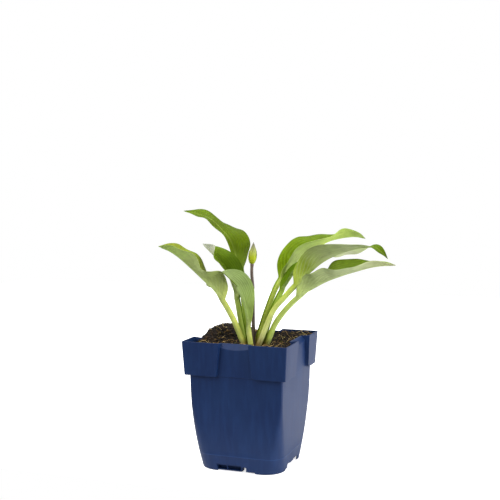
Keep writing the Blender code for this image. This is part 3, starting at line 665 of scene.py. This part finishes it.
STALK_HALF_WIDTHS = (2.5 * MM, 2.3 * MM)        # at the crown and at the blade
STALK_DEPTH = 2.6 * MM
RIB_DEPTH = 1.1 * MM
RIB_HALF_WIDTH = 1.3 * MM
BLADE_THICKNESS = 0.42 * MM
MARGIN_THICKNESS = 0.22 * MM
SIDE_VEINS = 7                      # on each half of a blade
VEIN_RELIEF = 0.16 * MM
STATIONS = 150
COLUMNS = 24                        # from the midrib to one margin
STALK_SINK = 1.2 * MM               # how deep a stalk's foot sits in the crown
HALF_CUP = math.radians(10)         # how much each half of a blade domes
RIPPLE = 0.7 * MM                   # how far the margin waves
RIPPLE_LENGTH = 21 * MM
LEVEL = ((0, 0), (1, 0))            # no roll from the stalk to the tip
# What each point of a leaf's mesh carries: 1 on the upper face, its place along the leaf
# (-1 at the stalk's foot, 0 at the blade's base, 1 at the tip) and across it in mm, how
# many veins out it is, and how near the midrib.
LEAF_MARKS = ("upper", "along", "across", "vein", "rib")

# Each leaf leaves the crown at base (x, y) and heads towards a compass angle in
# degrees, counter-clockwise from +X. Its spine is the midrib in that upright plane, as
# (reach, height) above the crown, with a third number where it strays to the left of
# the plane. The blade starts after the stalk's length. fold_left and fold_right say
# how steeply each half rises from the midrib, in degrees, at stations from 0 at the
# blade's base to 1 at its tip.
# roll turns the whole blade about its midrib. shape sets where the blade is widest.
# lopsided makes the left half so much wider, and the right half narrower. upper and
# under are the two faces' tones from the stalk's foot to the tip: each leaf's own green
# with painted light and shade in it, lighter where that leaf is lit, darker where it is
# shaded, and grey-white where it shines. Lengths are in mm.
LEAVES = {
    "leaf_left_front": dict(
        base=(-5.4, -4.0), heading=205, stalk=41, half_width=17.5, shape=(0.8, 1.05),
        spine=((0, 0.3), (9, 22), (18, 38), (26, 48), (34.5, 56.5), (44.5, 66), (56, 76),
               (64, 81), (72, 84)),
        fold_left=((0, 50), (0.14, 88), (0.26, 74), (0.38, 27), (0.46, 18), (0.56, 34),
                   (0.66, 41), (0.77, 35), (0.87, 48), (1, 50)),
        fold_right=((0, 40), (0.12, 15), (0.26, -11), (0.34, 14), (0.44, 30), (0.58, 42),
                    (0.75, 46), (0.87, 72), (1, 60)),
        upper=("#776124", "#8fa61e", "#969138", "#838534", "#859433", "#a9b03b"),
        under=("#7e6928", "#d2d669", "#d1db71", "#b0c071", "#b1c076", "#a7c55e")),
    "leaf_left_back": dict(
        base=(-6.6, 1.8), heading=185, stalk=38, half_width=13.5, shape=(0.9, 1.0),
        spine=((0, 0.3), (4, 21), (7, 39, 1), (11, 52, 2), (15.7, 62, 2.4),
               (23.5, 72.5, 3.6), (36.5, 85, 4.2)),
        fold_left=((0, 50), (0.3, 30), (0.6, 8), (0.74, 12), (0.86, 80), (1, 60)),
        fold_right=((0, 50), (0.3, 70), (0.62, 69), (0.82, 45), (1, 30)),
        upper=("#695521", "#748f15", "#668410", "#4d650a", "#536b09", "#849f26"),
        # Its under tones turn grey-white towards the tip: painted sheen.
        under=("#7e6928", "#bcd15b", "#cadb71", "#c0d188", "#dbdbb2", "#dbdbdb")),
    "leaf_front": dict(
        base=(1.4, -5.3), heading=212, stalk=12, half_width=13, shape=(2.0, 0.95),
        spine=((0, 0.3), (4.2, 28), (8.2, 41.5, 0.4), (13.4, 51, 1), (18.7, 56.5, 1.6),
               (23, 60.5, 2), (26, 63, 2.3)),
        fold_left=((0, 30), (0.3, 60), (0.5, 80), (1, 95)),
        fold_right=((0, 30), (0.3, 20), (0.6, 60), (1, 60)),
        upper=("#776124", "#8fa61e", "#87a21e", "#76951c", "#769f1b", "#8fae25"),
        under=("#786727", "#ced669", "#d7db7d", "#9fb752", "#8ea55a", "#9aae6b")),
    "leaf_left_top": dict(
        base=(-4.3, 7.4), heading=165, stalk=53, half_width=13.5, shape=(0.7, 1.1),
        spine=((0, 0.3), (5, 28), (9.3, 49, -1), (14.6, 64, -3), (19, 75, -4),
               (23.3, 85, -4), (32.5, 95, -4), (44, 104, -4), (57.5, 108.5, -4),
               (75.5, 111.5, -4)),
        fold_left=((0, 30), (0.1, -25), (0.15, -12), (0.2, 6), (0.3, 20), (0.4, 23),
                   (0.5, 12), (0.6, 8), (0.72, 14), (1, 15)),
        fold_right=((0, 30), (0.1, -12), (0.15, -16), (0.2, -3), (0.25, 14), (0.3, 35),
                    (0.4, 32), (0.48, 18), (0.56, 5), (0.63, -6), (0.7, -6), (0.85, 10),
                    (1, 10)),
        roll=((0, 0), (0.45, 0), (0.62, 0), (0.8, -22), (1, -25)),
        lopsided=0.8,
        upper=("#695521", "#748f15", "#6b8106", "#627702", "#596c02", "#708a11"),
        under=("#7e6928", "#b8cd57", "#c0d760", "#92af2d", "#8cad23", "#abc756")),
    "leaf_right_top": dict(
        base=(1.9, 6.5), heading=35, stalk=58, half_width=16.5, shape=(0.8, 1.05),
        spine=((0, 0.3), (9, 28), (19.5, 52), (29.5, 64), (41, 74), (53.5, 81), (65.5, 87),
               (82, 90), (92, 90), (99, 88)),
        fold_left=((0, 40), (0.12, 66), (0.27, 58), (0.45, 38), (0.62, 16), (1, 20)),
        fold_right=((0, 40), (0.1, 44), (0.2, 47), (0.35, 48), (0.62, 25), (0.8, 60),
                    (1, 60)),
        lopsided=1.12,
        upper=("#715b24", "#94a91c", "#8ca618", "#819c0c", "#667e04", "#95b11f"),
        under=("#7e642e", "#ced662", "#d0db6e", "#b7c67b", "#bcd063", "#8da347")),
    "leaf_right_middle": dict(
        base=(6.5, -2.4), heading=15, stalk=60, half_width=16, shape=(0.7, 1.05),
        spine=((0, 0.3), (12.5, 30), (21.5, 41), (32.5, 53), (44.5, 64), (53, 71), (64, 77),
               (76.5, 81.5), (88, 84), (97, 83.5), (103, 79.5), (108, 74)),
        fold_left=((0, 40), (0.3, 30), (0.45, -10), (0.55, -16), (0.68, -28), (0.8, -5),
                   (0.9, 45), (1, 50)),
        fold_right=((0, 40), (0.12, 84), (0.38, 62), (0.52, 32), (0.68, 18), (0.8, 0),
                    (0.9, -20), (1, -20)),
        upper=("#715b24", "#94a91c", "#8ca618", "#7c9b14", "#7c9d14", "#485904"),
        # Its grey-white under tone at 0.8 is painted sheen.
        under=("#846634", "#d6d689", "#c0ce57", "#97ab3c", "#dbdbbc", "#a7c245")),
    "leaf_right_low": dict(
        base=(12.1, 3.3), heading=5, stalk=49, half_width=15.5, shape=(0.7, 1.0),
        spine=((0, 0.3), (8, 19.5), (23, 38), (32, 45), (40, 50), (51, 56), (64, 61),
               (76.5, 65), (89, 68.5), (100, 70), (108.5, 70)),
        fold_left=((0, 40), (0.15, 40), (0.3, 25), (0.45, 53), (0.63, 42), (0.78, 25),
                   (1, 30)),
        fold_right=((0, 40), (0.08, 85), (0.16, 84), (0.26, 50), (0.37, 42), (0.44, 30),
                    (0.6, 17), (0.78, 32), (1, 40)),
        upper=("#6d5a21", "#859b1a", "#829421", "#7f922d", "#7b922d", "#93ae31"),
        under=("#776328", "#bccd5e", "#c0d26e", "#a9b878", "#bfc899", "#d1d1a1")),
    "leaf_right_back": dict(
        base=(7.4, 4.9), heading=27, stalk=48, half_width=6.5, shape=(0.9, 1.05),
        spine=((0, 0.3), (5.5, 19), (10.5, 33), (16.5, 45), (21.5, 52.5), (26.5, 59.5),
               (31.5, 65.5), (37, 71)),
        fold_left=((0, 45), (1, 60)),
        fold_right=((0, 30), (1, 20)),
        upper=("#695521", "#7c931a", "#6f8b10", "#6f8e0b", "#73930d", "#749118"),
        under=("#775e25", "#b3c357", "#b0c854", "#95af4b", "#9cb554", "#a3ba5c")),
}


def cubic(t, start, end, leaving, arriving):
    """From start to end as t runs from 0 to 1, with these slopes at its two ends."""
    return ((2 * t ** 3 - 3 * t ** 2 + 1) * start + (t ** 3 - 2 * t ** 2 + t) * leaving
            + (3 * t ** 2 - 2 * t ** 3) * end + (t ** 3 - t ** 2) * arriving)


def smooth_curve(points, count):
    """Evenly spaced points on a smooth curve through the given ones, and its length."""
    points = np.asarray(points, float)
    steps = np.sqrt(np.linalg.norm(np.diff(points, axis=0), axis=1))
    knots = np.concatenate([[0], np.cumsum(steps)])
    slopes = np.gradient(points, knots, axis=0)
    fine = []
    for i in range(len(points) - 1):
        span = knots[i + 1] - knots[i]
        t = np.linspace(0, 1, 60, endpoint=False)[:, None]
        fine.append(cubic(t, points[i], points[i + 1],
                          span * slopes[i], span * slopes[i + 1]))
    fine = np.concatenate(fine + [points[-1:]])
    run = np.concatenate([[0], np.cumsum(np.linalg.norm(np.diff(fine, axis=0), axis=1))])
    even = np.linspace(0, run[-1], count)
    return np.stack([np.interp(even, run, fine[:, k]) for k in range(3)], axis=1), run[-1]


def along(keys, place):
    """Values eased between (station, value) keys."""
    stations, values = np.array(keys, float).T
    place = np.clip(place, stations[0], stations[-1])
    left = np.clip(np.searchsorted(stations, place) - 1, 0, len(stations) - 2)
    span = stations[left + 1] - stations[left]
    t = (place - stations[left]) / span
    slopes = np.gradient(values, stations)
    return cubic(t, values[left], values[left + 1],
                 span * slopes[left], span * slopes[left + 1])


def ease(value):
    value = np.clip(value, 0, 1)
    return value * value * (3 - 2 * value)


def blade_profile(place, rise, fall):
    """Half-width along the blade, from 0 to 1 and back to 0 at the tip."""
    widest = rise / (rise + fall)
    peak = widest ** rise * (1 - widest) ** fall
    return place ** rise * (1 - place) ** fall / peak * (1 - np.exp(-(place / 0.03) ** 1.3))


def vein_count(place, share):
    """Counts side veins outwards from the midrib: whole numbers lie on a vein. The outer
    ones leave the midrib at the blade's base, the inner ones up to a third of its way."""
    veins = np.linspace(0, SIDE_VEINS + 0.6, 60)
    leaves_rib = 0.32 * (1 - veins / SIDE_VEINS) - 0.06
    counts = np.zeros((len(place), len(share)))
    for i, where in enumerate(place):
        out = veins / veins[-1] * ease((where - leaves_rib) / 0.24)
        out = np.maximum.accumulate(out) + veins * 1e-6
        counts[i] = np.interp(share, out, veins)
    return counts


def leaf_shape(leaf):
    """The leaf's mid-surface (stations x columns across), its normals, how far each
    station lies along, each column's share of the half-width, and its true distances."""
    turn = math.radians(leaf["heading"])
    forward = np.array((math.cos(turn), math.sin(turn), 0.0))
    aside = np.array((-math.sin(turn), math.cos(turn), 0.0))
    start = np.array((leaf["base"][0] * MM, leaf["base"][1] * MM, CROWN_TOP))
    spine = [start + (forward * reach + np.array((0, 0, height)) + aside * sum(stray)) * MM
             for reach, height, *stray in leaf["spine"]]
    centre, length = smooth_curve(spine, STATIONS)
    tangent = np.gradient(centre, axis=0)
    tangent /= np.linalg.norm(tangent, axis=1)[:, None]
    across = aside - (tangent @ aside)[:, None] * tangent
    across /= np.linalg.norm(across, axis=1)[:, None]
    up = np.cross(tangent, across)

    run = np.linspace(0, length, STATIONS)
    stalk = leaf["stalk"] * MM
    place = np.clip((run - stalk) / (length - stalk), 0, 1)
    profile = blade_profile(place, *leaf["shape"])
    low, high = STALK_HALF_WIDTHS
    stem = (low + (high - low) * np.clip(run / stalk, 0, 1)) * (1 - place) ** 0.7
    width = stem * (1 - profile) + leaf["half_width"] * MM * profile + 0.2 * MM

    roll = np.radians(along(leaf.get("roll", LEVEL), place))[:, None]
    across, up = (across * np.cos(roll) + up * np.sin(roll),
                  up * np.cos(roll) - across * np.sin(roll))
    share = np.linspace(0, 1, COLUMNS + 1)
    cup = HALF_CUP * ease(place / 0.15)
    grid = np.zeros((STATIONS, 2 * COLUMNS + 1, 3))
    grid[:, COLUMNS] = centre
    for side, hand in ((1, "left"), (-1, "right")):
        rise = np.radians(along(leaf["fold_" + hand], place))
        own = width * (1 + (leaf.get("lopsided", 1) ** side - 1) * ease(place / 0.1))
        point = centre.copy()
        for j in range(1, COLUMNS + 1):
            lean = (rise + cup * (1 - 2 * (share[j] - 0.5 / COLUMNS)))[:, None]
            step = (own / COLUMNS)[:, None]
            point = point + side * across * step * np.cos(lean) + up * step * np.sin(lean)
            grid[:, COLUMNS + side * j] = point
    shares = np.abs(np.arange(-COLUMNS, COLUMNS + 1)) / COLUMNS
    normals = face_normals(grid)
    blade = ease(place / 0.12)[:, None]
    counts = vein_count(place, shares)
    ripple = RIPPLE * np.sin(
        2 * math.pi * run[:, None] / RIPPLE_LENGTH + leaf["heading"]
        + 2 * np.sign(np.arange(-COLUMNS, COLUMNS + 1))) * shares ** 2
    relief = -VEIN_RELIEF * np.cos(2 * math.pi * counts) * (1 - shares ** 6)
    to_tip = 1 - place[:, None]
    lift = (ripple * to_tip ** 0.5 + relief * (1 - 0.6 * place[:, None])) * blade
    grid = grid + normals * lift[:, :, None]
    return grid, place, run / stalk, shares, width, counts


def face_normals(grid):
    normals = np.cross(np.gradient(grid, axis=0), np.gradient(grid, axis=1))
    return normals / np.linalg.norm(normals, axis=2)[:, :, None]


def make_leaf(name, leaf):
    grid, place, down_stalk, shares, width, counts = leaf_shape(leaf)
    normals = face_normals(grid)
    blade = ease(place / 0.14)[:, None]
    distance = shares * width[:, None]
    stalk_depth = MARGIN_THICKNESS + STALK_DEPTH * np.sqrt(np.maximum(1 - shares ** 2, 0))
    rib_half = RIB_HALF_WIDTH * (1 - 0.75 * place[:, None])
    rib = RIB_DEPTH * (1 - 0.7 * place[:, None]) * np.exp(-(distance / rib_half) ** 2)
    sheet = MARGIN_THICKNESS + (BLADE_THICKNESS - MARGIN_THICKNESS) * (1 - shares ** 4)
    thickness = stalk_depth * (1 - blade) + (sheet + rib) * blade
    thickness *= np.minimum(1, 0.35 + (1 - place[:, None]) * 12)
    under = grid - normals * thickness[:, :, None]
    foot = CROWN_TOP - STALK_SINK
    for face in (grid, under):              # the stalk's foot ends level, in the crown
        lean = grid[1, COLUMNS] - grid[0, COLUMNS]
        face[0] -= lean * ((face[0, :, 2] - foot) / lean[2])[:, None]

    around = 2 * grid.shape[1]
    points = np.concatenate([grid, under[:, ::-1]], axis=1)
    across = np.arange(-COLUMNS, COLUMNS + 1) / COLUMNS
    builder = bmesh.new()
    marks = [builder.verts.layers.float.new(title) for title in LEAF_MARKS]
    for i, row in enumerate(loft(builder, points)):
        for k, point in enumerate(row):
            column = k if k < grid.shape[1] else around - 1 - k
            values = (1.0 if k < grid.shape[1] else 0.0,
                      place[i] if place[i] > 0 else min(down_stalk[i], 1) - 1,
                      across[column] * width[i] / MM, counts[i, column],
                      math.exp(-(distance[i, column] / rib_half[i, 0]) ** 2))
            for mark, value in zip(marks, values):
                point[mark] = value
    return solid_object(name, builder, smooth=60)


def leaf_skin(name, leaf):
    """Living hosta leaf. Above it is a satin green with darker sunken veins. Below, a wax
    bloom makes it matt and greyer, with pale raised veins some 2 mm apart. It is thin, so
    light from behind glows through it yellow-green. The stalk's foot is brownish. The
    tones along each leaf also hold painted light and shade, and painted sheen."""
    material, tree = new_material(name)
    place = node(tree, "ShaderNodeTexCoord").outputs["Object"]
    read = {title: node(tree, "ShaderNodeAttribute", attribute_name=title).outputs["Fac"]
            for title in LEAF_MARKS}
    spot = node(tree, "ShaderNodeMapRange", {
        "Value": read["along"], "From Min": -1, "From Max": 1})
    # The two ramps take each leaf's tones, which carry painted light, shade and sheen along
    # with its green.
    stops = (0.0, 0.07, 0.46, 0.6, 0.8, 1.0)
    above = node(tree, "ShaderNodeValToRGB", {
        "Fac": spot}, ramp=tuple(zip(stops, leaf["upper"])))
    below = node(tree, "ShaderNodeValToRGB", {
        "Fac": spot}, ramp=tuple(zip(stops, leaf["under"])))

    grain = node(tree, "ShaderNodeCombineXYZ", {
        "X": node(tree, "ShaderNodeMath", {0: read["along"], 1: 5.0}, operation="MULTIPLY"),
        "Y": node(tree, "ShaderNodeMath", {
            0: read["across"], 1: 1.6}, operation="MULTIPLY")})
    streaks = node(tree, "ShaderNodeTexNoise", {
        "Vector": grain, "Scale": 1.0, "Detail": 4, "Roughness": 0.6})
    mottle = node(tree, "ShaderNodeTexNoise", {
        "Vector": place, "Scale": 110, "Detail": 3, "Roughness": 0.5})
    shade = node(tree, "ShaderNodeMath", {0: streaks, 1: mottle}, operation="ADD")
    gain = node(tree, "ShaderNodeMapRange", {
        "Value": shade, "From Min": 0.7, "From Max": 1.3, "To Min": 0.80, "To Max": 1.18})

    near = node(tree, "ShaderNodeMath", {0: read["vein"], 1: 0.5}, operation="PINGPONG")
    line = node(tree, "ShaderNodeMapRange", {
        "Value": near, "From Min": 0.02, "From Max": 0.2, "To Min": 1.0, "To Max": 0.0},
        interpolation_type="SMOOTHSTEP")
    on_blade = node(tree, "ShaderNodeMapRange", {
        "Value": read["along"], "From Min": 0.0, "From Max": 0.12},
        interpolation_type="SMOOTHSTEP")
    veins = node(tree, "ShaderNodeMath", {0: line, 1: on_blade}, operation="MULTIPLY")
    drawn = node(tree, "ShaderNodeMath", {0: veins, 1: read["rib"]}, operation="MAXIMUM")

    vein_above = node(tree, "ShaderNodeMath", {0: veins, 1: 0.3}, operation="MULTIPLY")
    sunk = node(tree, "ShaderNodeMix", {
        0: vein_above, 6: above, 7: colour("#416306")}, data_type="RGBA")
    rib_above = node(tree, "ShaderNodeMath", {
        0: read["rib"], 1: 0.45}, operation="MULTIPLY")
    ribbed = node(tree, "ShaderNodeMix", {
        0: rib_above, 6: sunk.outputs[2], 7: colour("#a3b552")}, data_type="RGBA")
    vein_below = node(tree, "ShaderNodeMath", {0: drawn, 1: 0.3}, operation="MULTIPLY")
    raised = node(tree, "ShaderNodeMix", {
        0: vein_below, 6: below, 7: colour("#c3d296")}, data_type="RGBA")
    face = node(tree, "ShaderNodeMix", {
        0: read["upper"], 6: raised.outputs[2], 7: ribbed.outputs[2]}, data_type="RGBA")
    tint = node(tree, "ShaderNodeVectorMath", {
        0: face.outputs[2], "Scale": gain}, operation="SCALE")

    height = node(tree, "ShaderNodeMath", {
        0: drawn, 1: 1.0, 2: streaks}, operation="MULTIPLY_ADD")
    sign = node(tree, "ShaderNodeMapRange", {
        "Value": read["upper"], "To Min": 1.0, "To Max": -1.0})
    signed = node(tree, "ShaderNodeMath", {0: height, 1: sign}, operation="MULTIPLY")
    bump = node(tree, "ShaderNodeBump", {
        "Height": signed, "Strength": 0.35, "Distance": 0.25 * MM})
    rough = node(tree, "ShaderNodeMapRange", {
        "Value": read["upper"], "To Min": 0.6, "To Max": 0.48})
    skin = node(tree, "ShaderNodeBsdfPrincipled", {
        "Base Color": tint, "Roughness": rough, "Specular IOR Level": 0.1, "Normal": bump})
    glow_tint = node(tree, "ShaderNodeMix", {
        0: 0.6, 6: tint, 7: colour("#f0ff9a")}, data_type="RGBA", blend_type="MULTIPLY")
    glow = node(tree, "ShaderNodeBsdfTranslucent", {
        "Color": glow_tint.outputs[2], "Normal": bump})
    both = node(tree, "ShaderNodeMixShader", {0: 0.35, 1: skin, 2: glow})
    node(tree, "ShaderNodeOutputMaterial", {"Surface": both})
    return material


for leaf_name, leaf_values in LEAVES.items():
    leaf_piece = make_leaf("grown_" + leaf_name, leaf_values)
    leaf_piece.data.materials.append(leaf_skin("hosta_" + leaf_name, leaf_values))
    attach(leaf_piece, "root")
    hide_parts(leaf_name)


# ======================================================================= the flower stem
# The season's first flower stem, some 70 mm tall, round and solid, and purple-brown. It
# rises from the middle of the crown between the leaves.

STEM_PATH = ((0.9, 1.9, 100.0), (-0.1, 4.0, 121), (-1.0, 5.8, 146), (-2.2, 5.9, 161.5),
             (-1.9, 5.9, 169.2))
STEM_RADII = (1.6 * MM, 1.3 * MM)
STEM_SIDES = 20
STEM_STATIONS = 70


def make_stem():
    centre, length = smooth_curve(np.array(STEM_PATH) * MM, STEM_STATIONS)
    builder = bmesh.new()
    loops = []
    for i, point in enumerate(centre):
        up = i / (STEM_STATIONS - 1)
        radius = STEM_RADII[0] + (STEM_RADII[1] - STEM_RADII[0]) * up ** 0.6
        radius += 0.25 * MM * math.exp(-((up - 0.985) / 0.02) ** 2)     # under the bud
        loop = []
        for k in range(STEM_SIDES):
            angle = 2 * math.pi * k / STEM_SIDES
            ridge = 1 + 0.035 * math.cos(5 * angle + 1.5 * up)
            loop.append((point[0] + radius * ridge * math.cos(angle),
                         point[1] + radius * ridge * math.sin(angle), point[2]))
        loops.append(loop)
    loft(builder, loops)
    return solid_object("round_flower_stem", builder, smooth=60)


# A living stem flushed purple-brown over green, with fine lengthwise streaks and a
# faint waxy sheen.
stem = make_stem()
stem.data.materials.append(natural_matter(
    "flushed_stem_skin", ((0.3, "#3c302e"), (0.5, "#5a4a44"), (0.7, "#7a6f58")),
    (1500, 4, 0.6), (1500, 4, 0.6), (0.4, 0.1 * MM), rough=0.5, sheen=0.4, upright=0.08))
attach(stem, "root")
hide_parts("flower_stem")


# ======================================================================= bud and bracts
# The flower head before it opens: a pointed bud of folded buds, yellow-green below and
# tinged purple at its tip, wrapped in three boat-shaped bracts that overlap.

bud_low, bud_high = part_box("flower_bud")
BUD_RADIUS = 2.9 * MM
BUD_LEAN = Vector((0.07, 0.0, 1)).normalized()
BUD_FOOT = Vector((-1.9 * MM, 5.9 * MM, bud_low.z))
BUD_LENGTH = (bud_high.z - bud_low.z) / BUD_LEAN.z
BUD_RIGHT = BUD_LEAN.cross(Vector((0, 1, 0))).normalized()
BUD_AHEAD = BUD_LEAN.cross(BUD_RIGHT)
BUD_ROWS = 60
BUD_SIDES = 48
BRACT_THICKNESS = 0.35 * MM
BRACTS = {                      # middle round the bud and half spread, degrees; top
    "bract_front": (250, 62, 0.82),
    "bract_left": (10, 48, 0.62),
    "bract_back": (125, 56, 0.72),
}


def bud_radius(up):
    """The bud's radius at a fraction of its height: widest low down, pointed on top."""
    inside = min(max(up / 0.9, 0), 1)
    return BUD_RADIUS * math.sin(math.pi * inside ** 0.75) ** 0.8 + 0.25 * MM


def on_bud(up, angle, out):
    """A point at this height and turn on the bud, this far out from its axis."""
    radial = BUD_RIGHT * math.cos(angle) + BUD_AHEAD * math.sin(angle)
    return BUD_FOOT + BUD_LEAN * BUD_LENGTH * up + radial * out


def make_bud():
    builder = bmesh.new()
    loops = []
    for i in range(BUD_ROWS):
        up = i / (BUD_ROWS - 1)
        loop = []
        for k in range(BUD_SIDES):
            angle = 2 * math.pi * k / BUD_SIDES
            seam = abs(math.sin(2.5 * angle + 2.2 * up)) ** 0.6
            out = bud_radius(up * 0.93) * (0.93 + 0.07 * seam)
            loop.append(on_bud(up, angle, out))
        loops.append(loop)
    loft(builder, loops)
    return solid_object("folded_flower_bud", builder, smooth=80)


def make_bract(name, middle, spread, top):
    """A thin scale hugging the bud: wide at its foot, keeled, and pointed at its top."""
    rows, columns = 30, 15
    builder = bmesh.new()
    loops = []
    for i in range(rows):
        part = i / (rows - 1)
        up = 0.04 + (top - 0.04) * part
        narrow = 1 - part ** 2.2 * 0.96
        inner, outer = [], []
        for k in range(columns):
            side = 2 * k / (columns - 1) - 1
            angle = math.radians(middle + spread * narrow * side)
            keel = 0.35 * MM * math.exp(-(side / 0.18) ** 2) * (1 - part)
            near = bud_radius(up * 0.93) + 0.12 * MM + 0.3 * MM * part * abs(side) ** 3
            wall = BRACT_THICKNESS * (1 - 0.6 * abs(side) ** 3)
            inner.append(on_bud(up, angle, near))
            outer.append(on_bud(up, angle, near + wall + keel))
        loops.append(inner + outer[::-1])
    loft(builder, loops)
    return solid_object(name, builder, smooth=60)


def bud_skin(name, low, middle, high):
    """Young petals and bracts: waxy and soft, coloured from foot to tip, with a flush of
    purple that runs down in streaks about 0.4 mm wide."""
    material, tree = new_material(name)
    place = node(tree, "ShaderNodeTexCoord").outputs["Object"]
    upright = node(tree, "ShaderNodeMapping", {"Vector": place, "Scale": (1, 1, 0.12)})
    streaks = node(tree, "ShaderNodeTexNoise", {
        "Vector": upright, "Scale": 1100, "Detail": 3, "Roughness": 0.6})
    level = node(tree, "ShaderNodeSeparateXYZ", {"Vector": place})
    rise = node(tree, "ShaderNodeMapRange", {
        "Value": level.outputs["Z"], "From Min": bud_low.z, "From Max": bud_high.z})
    ragged = node(tree, "ShaderNodeMath", {
        0: streaks, 1: 0.35, 2: -0.175}, operation="MULTIPLY_ADD")
    mixed = node(tree, "ShaderNodeMath", {0: rise, 1: ragged}, operation="ADD")
    tint = node(tree, "ShaderNodeValToRGB", {
        "Fac": mixed}, ramp=((0.0, low), (0.35, low), (0.62, middle), (0.95, high)))
    bump = node(tree, "ShaderNodeBump", {
        "Height": streaks, "Strength": 0.5, "Distance": 0.12 * MM})
    skin = node(tree, "ShaderNodeBsdfPrincipled", {
        "Base Color": tint, "Roughness": 0.45, "Specular IOR Level": 0.35, "Normal": bump})
    glow = node(tree, "ShaderNodeBsdfTranslucent", {"Color": tint})
    both = node(tree, "ShaderNodeMixShader", {0: 0.2, 1: skin, 2: glow})
    node(tree, "ShaderNodeOutputMaterial", {"Surface": both})
    return material


bud = make_bud()
bud.data.materials.append(bud_skin("waxy_bud_skin", "#b7c11a", "#a6ad56", "#665f5b"))
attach(bud, "root")
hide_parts("flower_bud")
bract_matter = bud_skin("waxy_bract_skin", "#afbc1e", "#9ca35b", "#70685f")
for bract_name, (middle, spread, top) in BRACTS.items():
    bract = make_bract("thin_" + bract_name, middle, spread, top)
    bract.data.materials.append(bract_matter)
    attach(bract, "root")
    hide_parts(bract_name)


# ======================================================================= floor and light
# A plain white table in a white studio, with soft light from above and from the back
# right, and the darker room on the near side.

def make_floor():
    builder = bmesh.new()
    corners = ((-1.0, -0.09), (1.0, -0.09), (1.0, 1.2), (-1.0, 1.2))
    builder.faces.new([builder.verts.new((x, y, -0.3 * MM)) for x, y in corners])
    table = solid_object("white_table", builder)
    material, tree = new_material("white_painted_board")
    seen = node(tree, "ShaderNodeLightPath")
    shine = node(tree, "ShaderNodeMath", {
        0: seen.outputs["Is Camera Ray"], 1: 0.4, 2: 0.3}, operation="MULTIPLY_ADD")
    paint = node(tree, "ShaderNodeBsdfPrincipled", {
        "Base Color": (0.85, 0.85, 0.85, 1), "Roughness": 0.9,
        "Emission Color": (1, 1, 1, 1), "Emission Strength": shine})
    node(tree, "ShaderNodeOutputMaterial", {"Surface": paint})
    table.data.materials.append(material)
    return table


def soft_light(name, place, aim, size, power):
    lamp = bpy.data.lights.new(name, "AREA")
    lamp.shape = "RECTANGLE"
    lamp.size, lamp.size_y = size
    lamp.energy = power
    light = bpy.data.objects.new(name, lamp)
    light.location = place
    light.rotation_euler = (Vector(aim) - Vector(place)).to_track_quat("-Z", "Y").to_euler()
    bpy.context.scene.collection.objects.link(light)


make_floor()
AIM = (0.0, 0.0, 0.12)
soft_light("overhead", (-0.1, 0.1, 1.3), AIM, (1.4, 1.4), 17)
soft_light("right", (1.3, -0.15, 0.35), AIM, (1.2, 1.2), 24)
soft_light("front_left", (-0.6, -1.0, 1.0), AIM, (1.0, 1.0), 15)

world = bpy.data.worlds.new("white_studio")
bpy.context.scene.world = world
world.use_nodes = True
world.node_tree.nodes.clear()
air = world.node_tree
facing = node(air, "ShaderNodeTexCoord")
split = node(air, "ShaderNodeSeparateXYZ", {"Vector": facing.outputs["Generated"]})
depth = node(air, "ShaderNodeMapRange", {
    "Value": split.outputs["Y"], "From Min": -0.7, "From Max": 0.3, "To Min": 0.5,
    "To Max": 0.75}, interpolation_type="SMOOTHSTEP")
seen = node(air, "ShaderNodeLightPath")
level = node(air, "ShaderNodeMath", {
    0: depth, 1: seen.outputs["Is Camera Ray"]}, operation="MAXIMUM")
sky = node(air, "ShaderNodeBackground", {"Color": (1, 1, 1, 1), "Strength": level})
node(air, "ShaderNodeOutputWorld", {"Surface": sky})

camera = bpy.data.cameras.new("camera")
camera.lens = 68.23
camera.sensor_width = 36
viewer = bpy.data.objects.new("camera", camera)
viewer.location = (0.2694, -0.7520, 0.2419)
viewer.rotation_euler = (math.radians(85.66), 0, math.radians(19.825))
bpy.context.scene.collection.objects.link(viewer)
bpy.context.scene.camera = viewer
bpy.context.scene.view_settings.view_transform = "Standard"
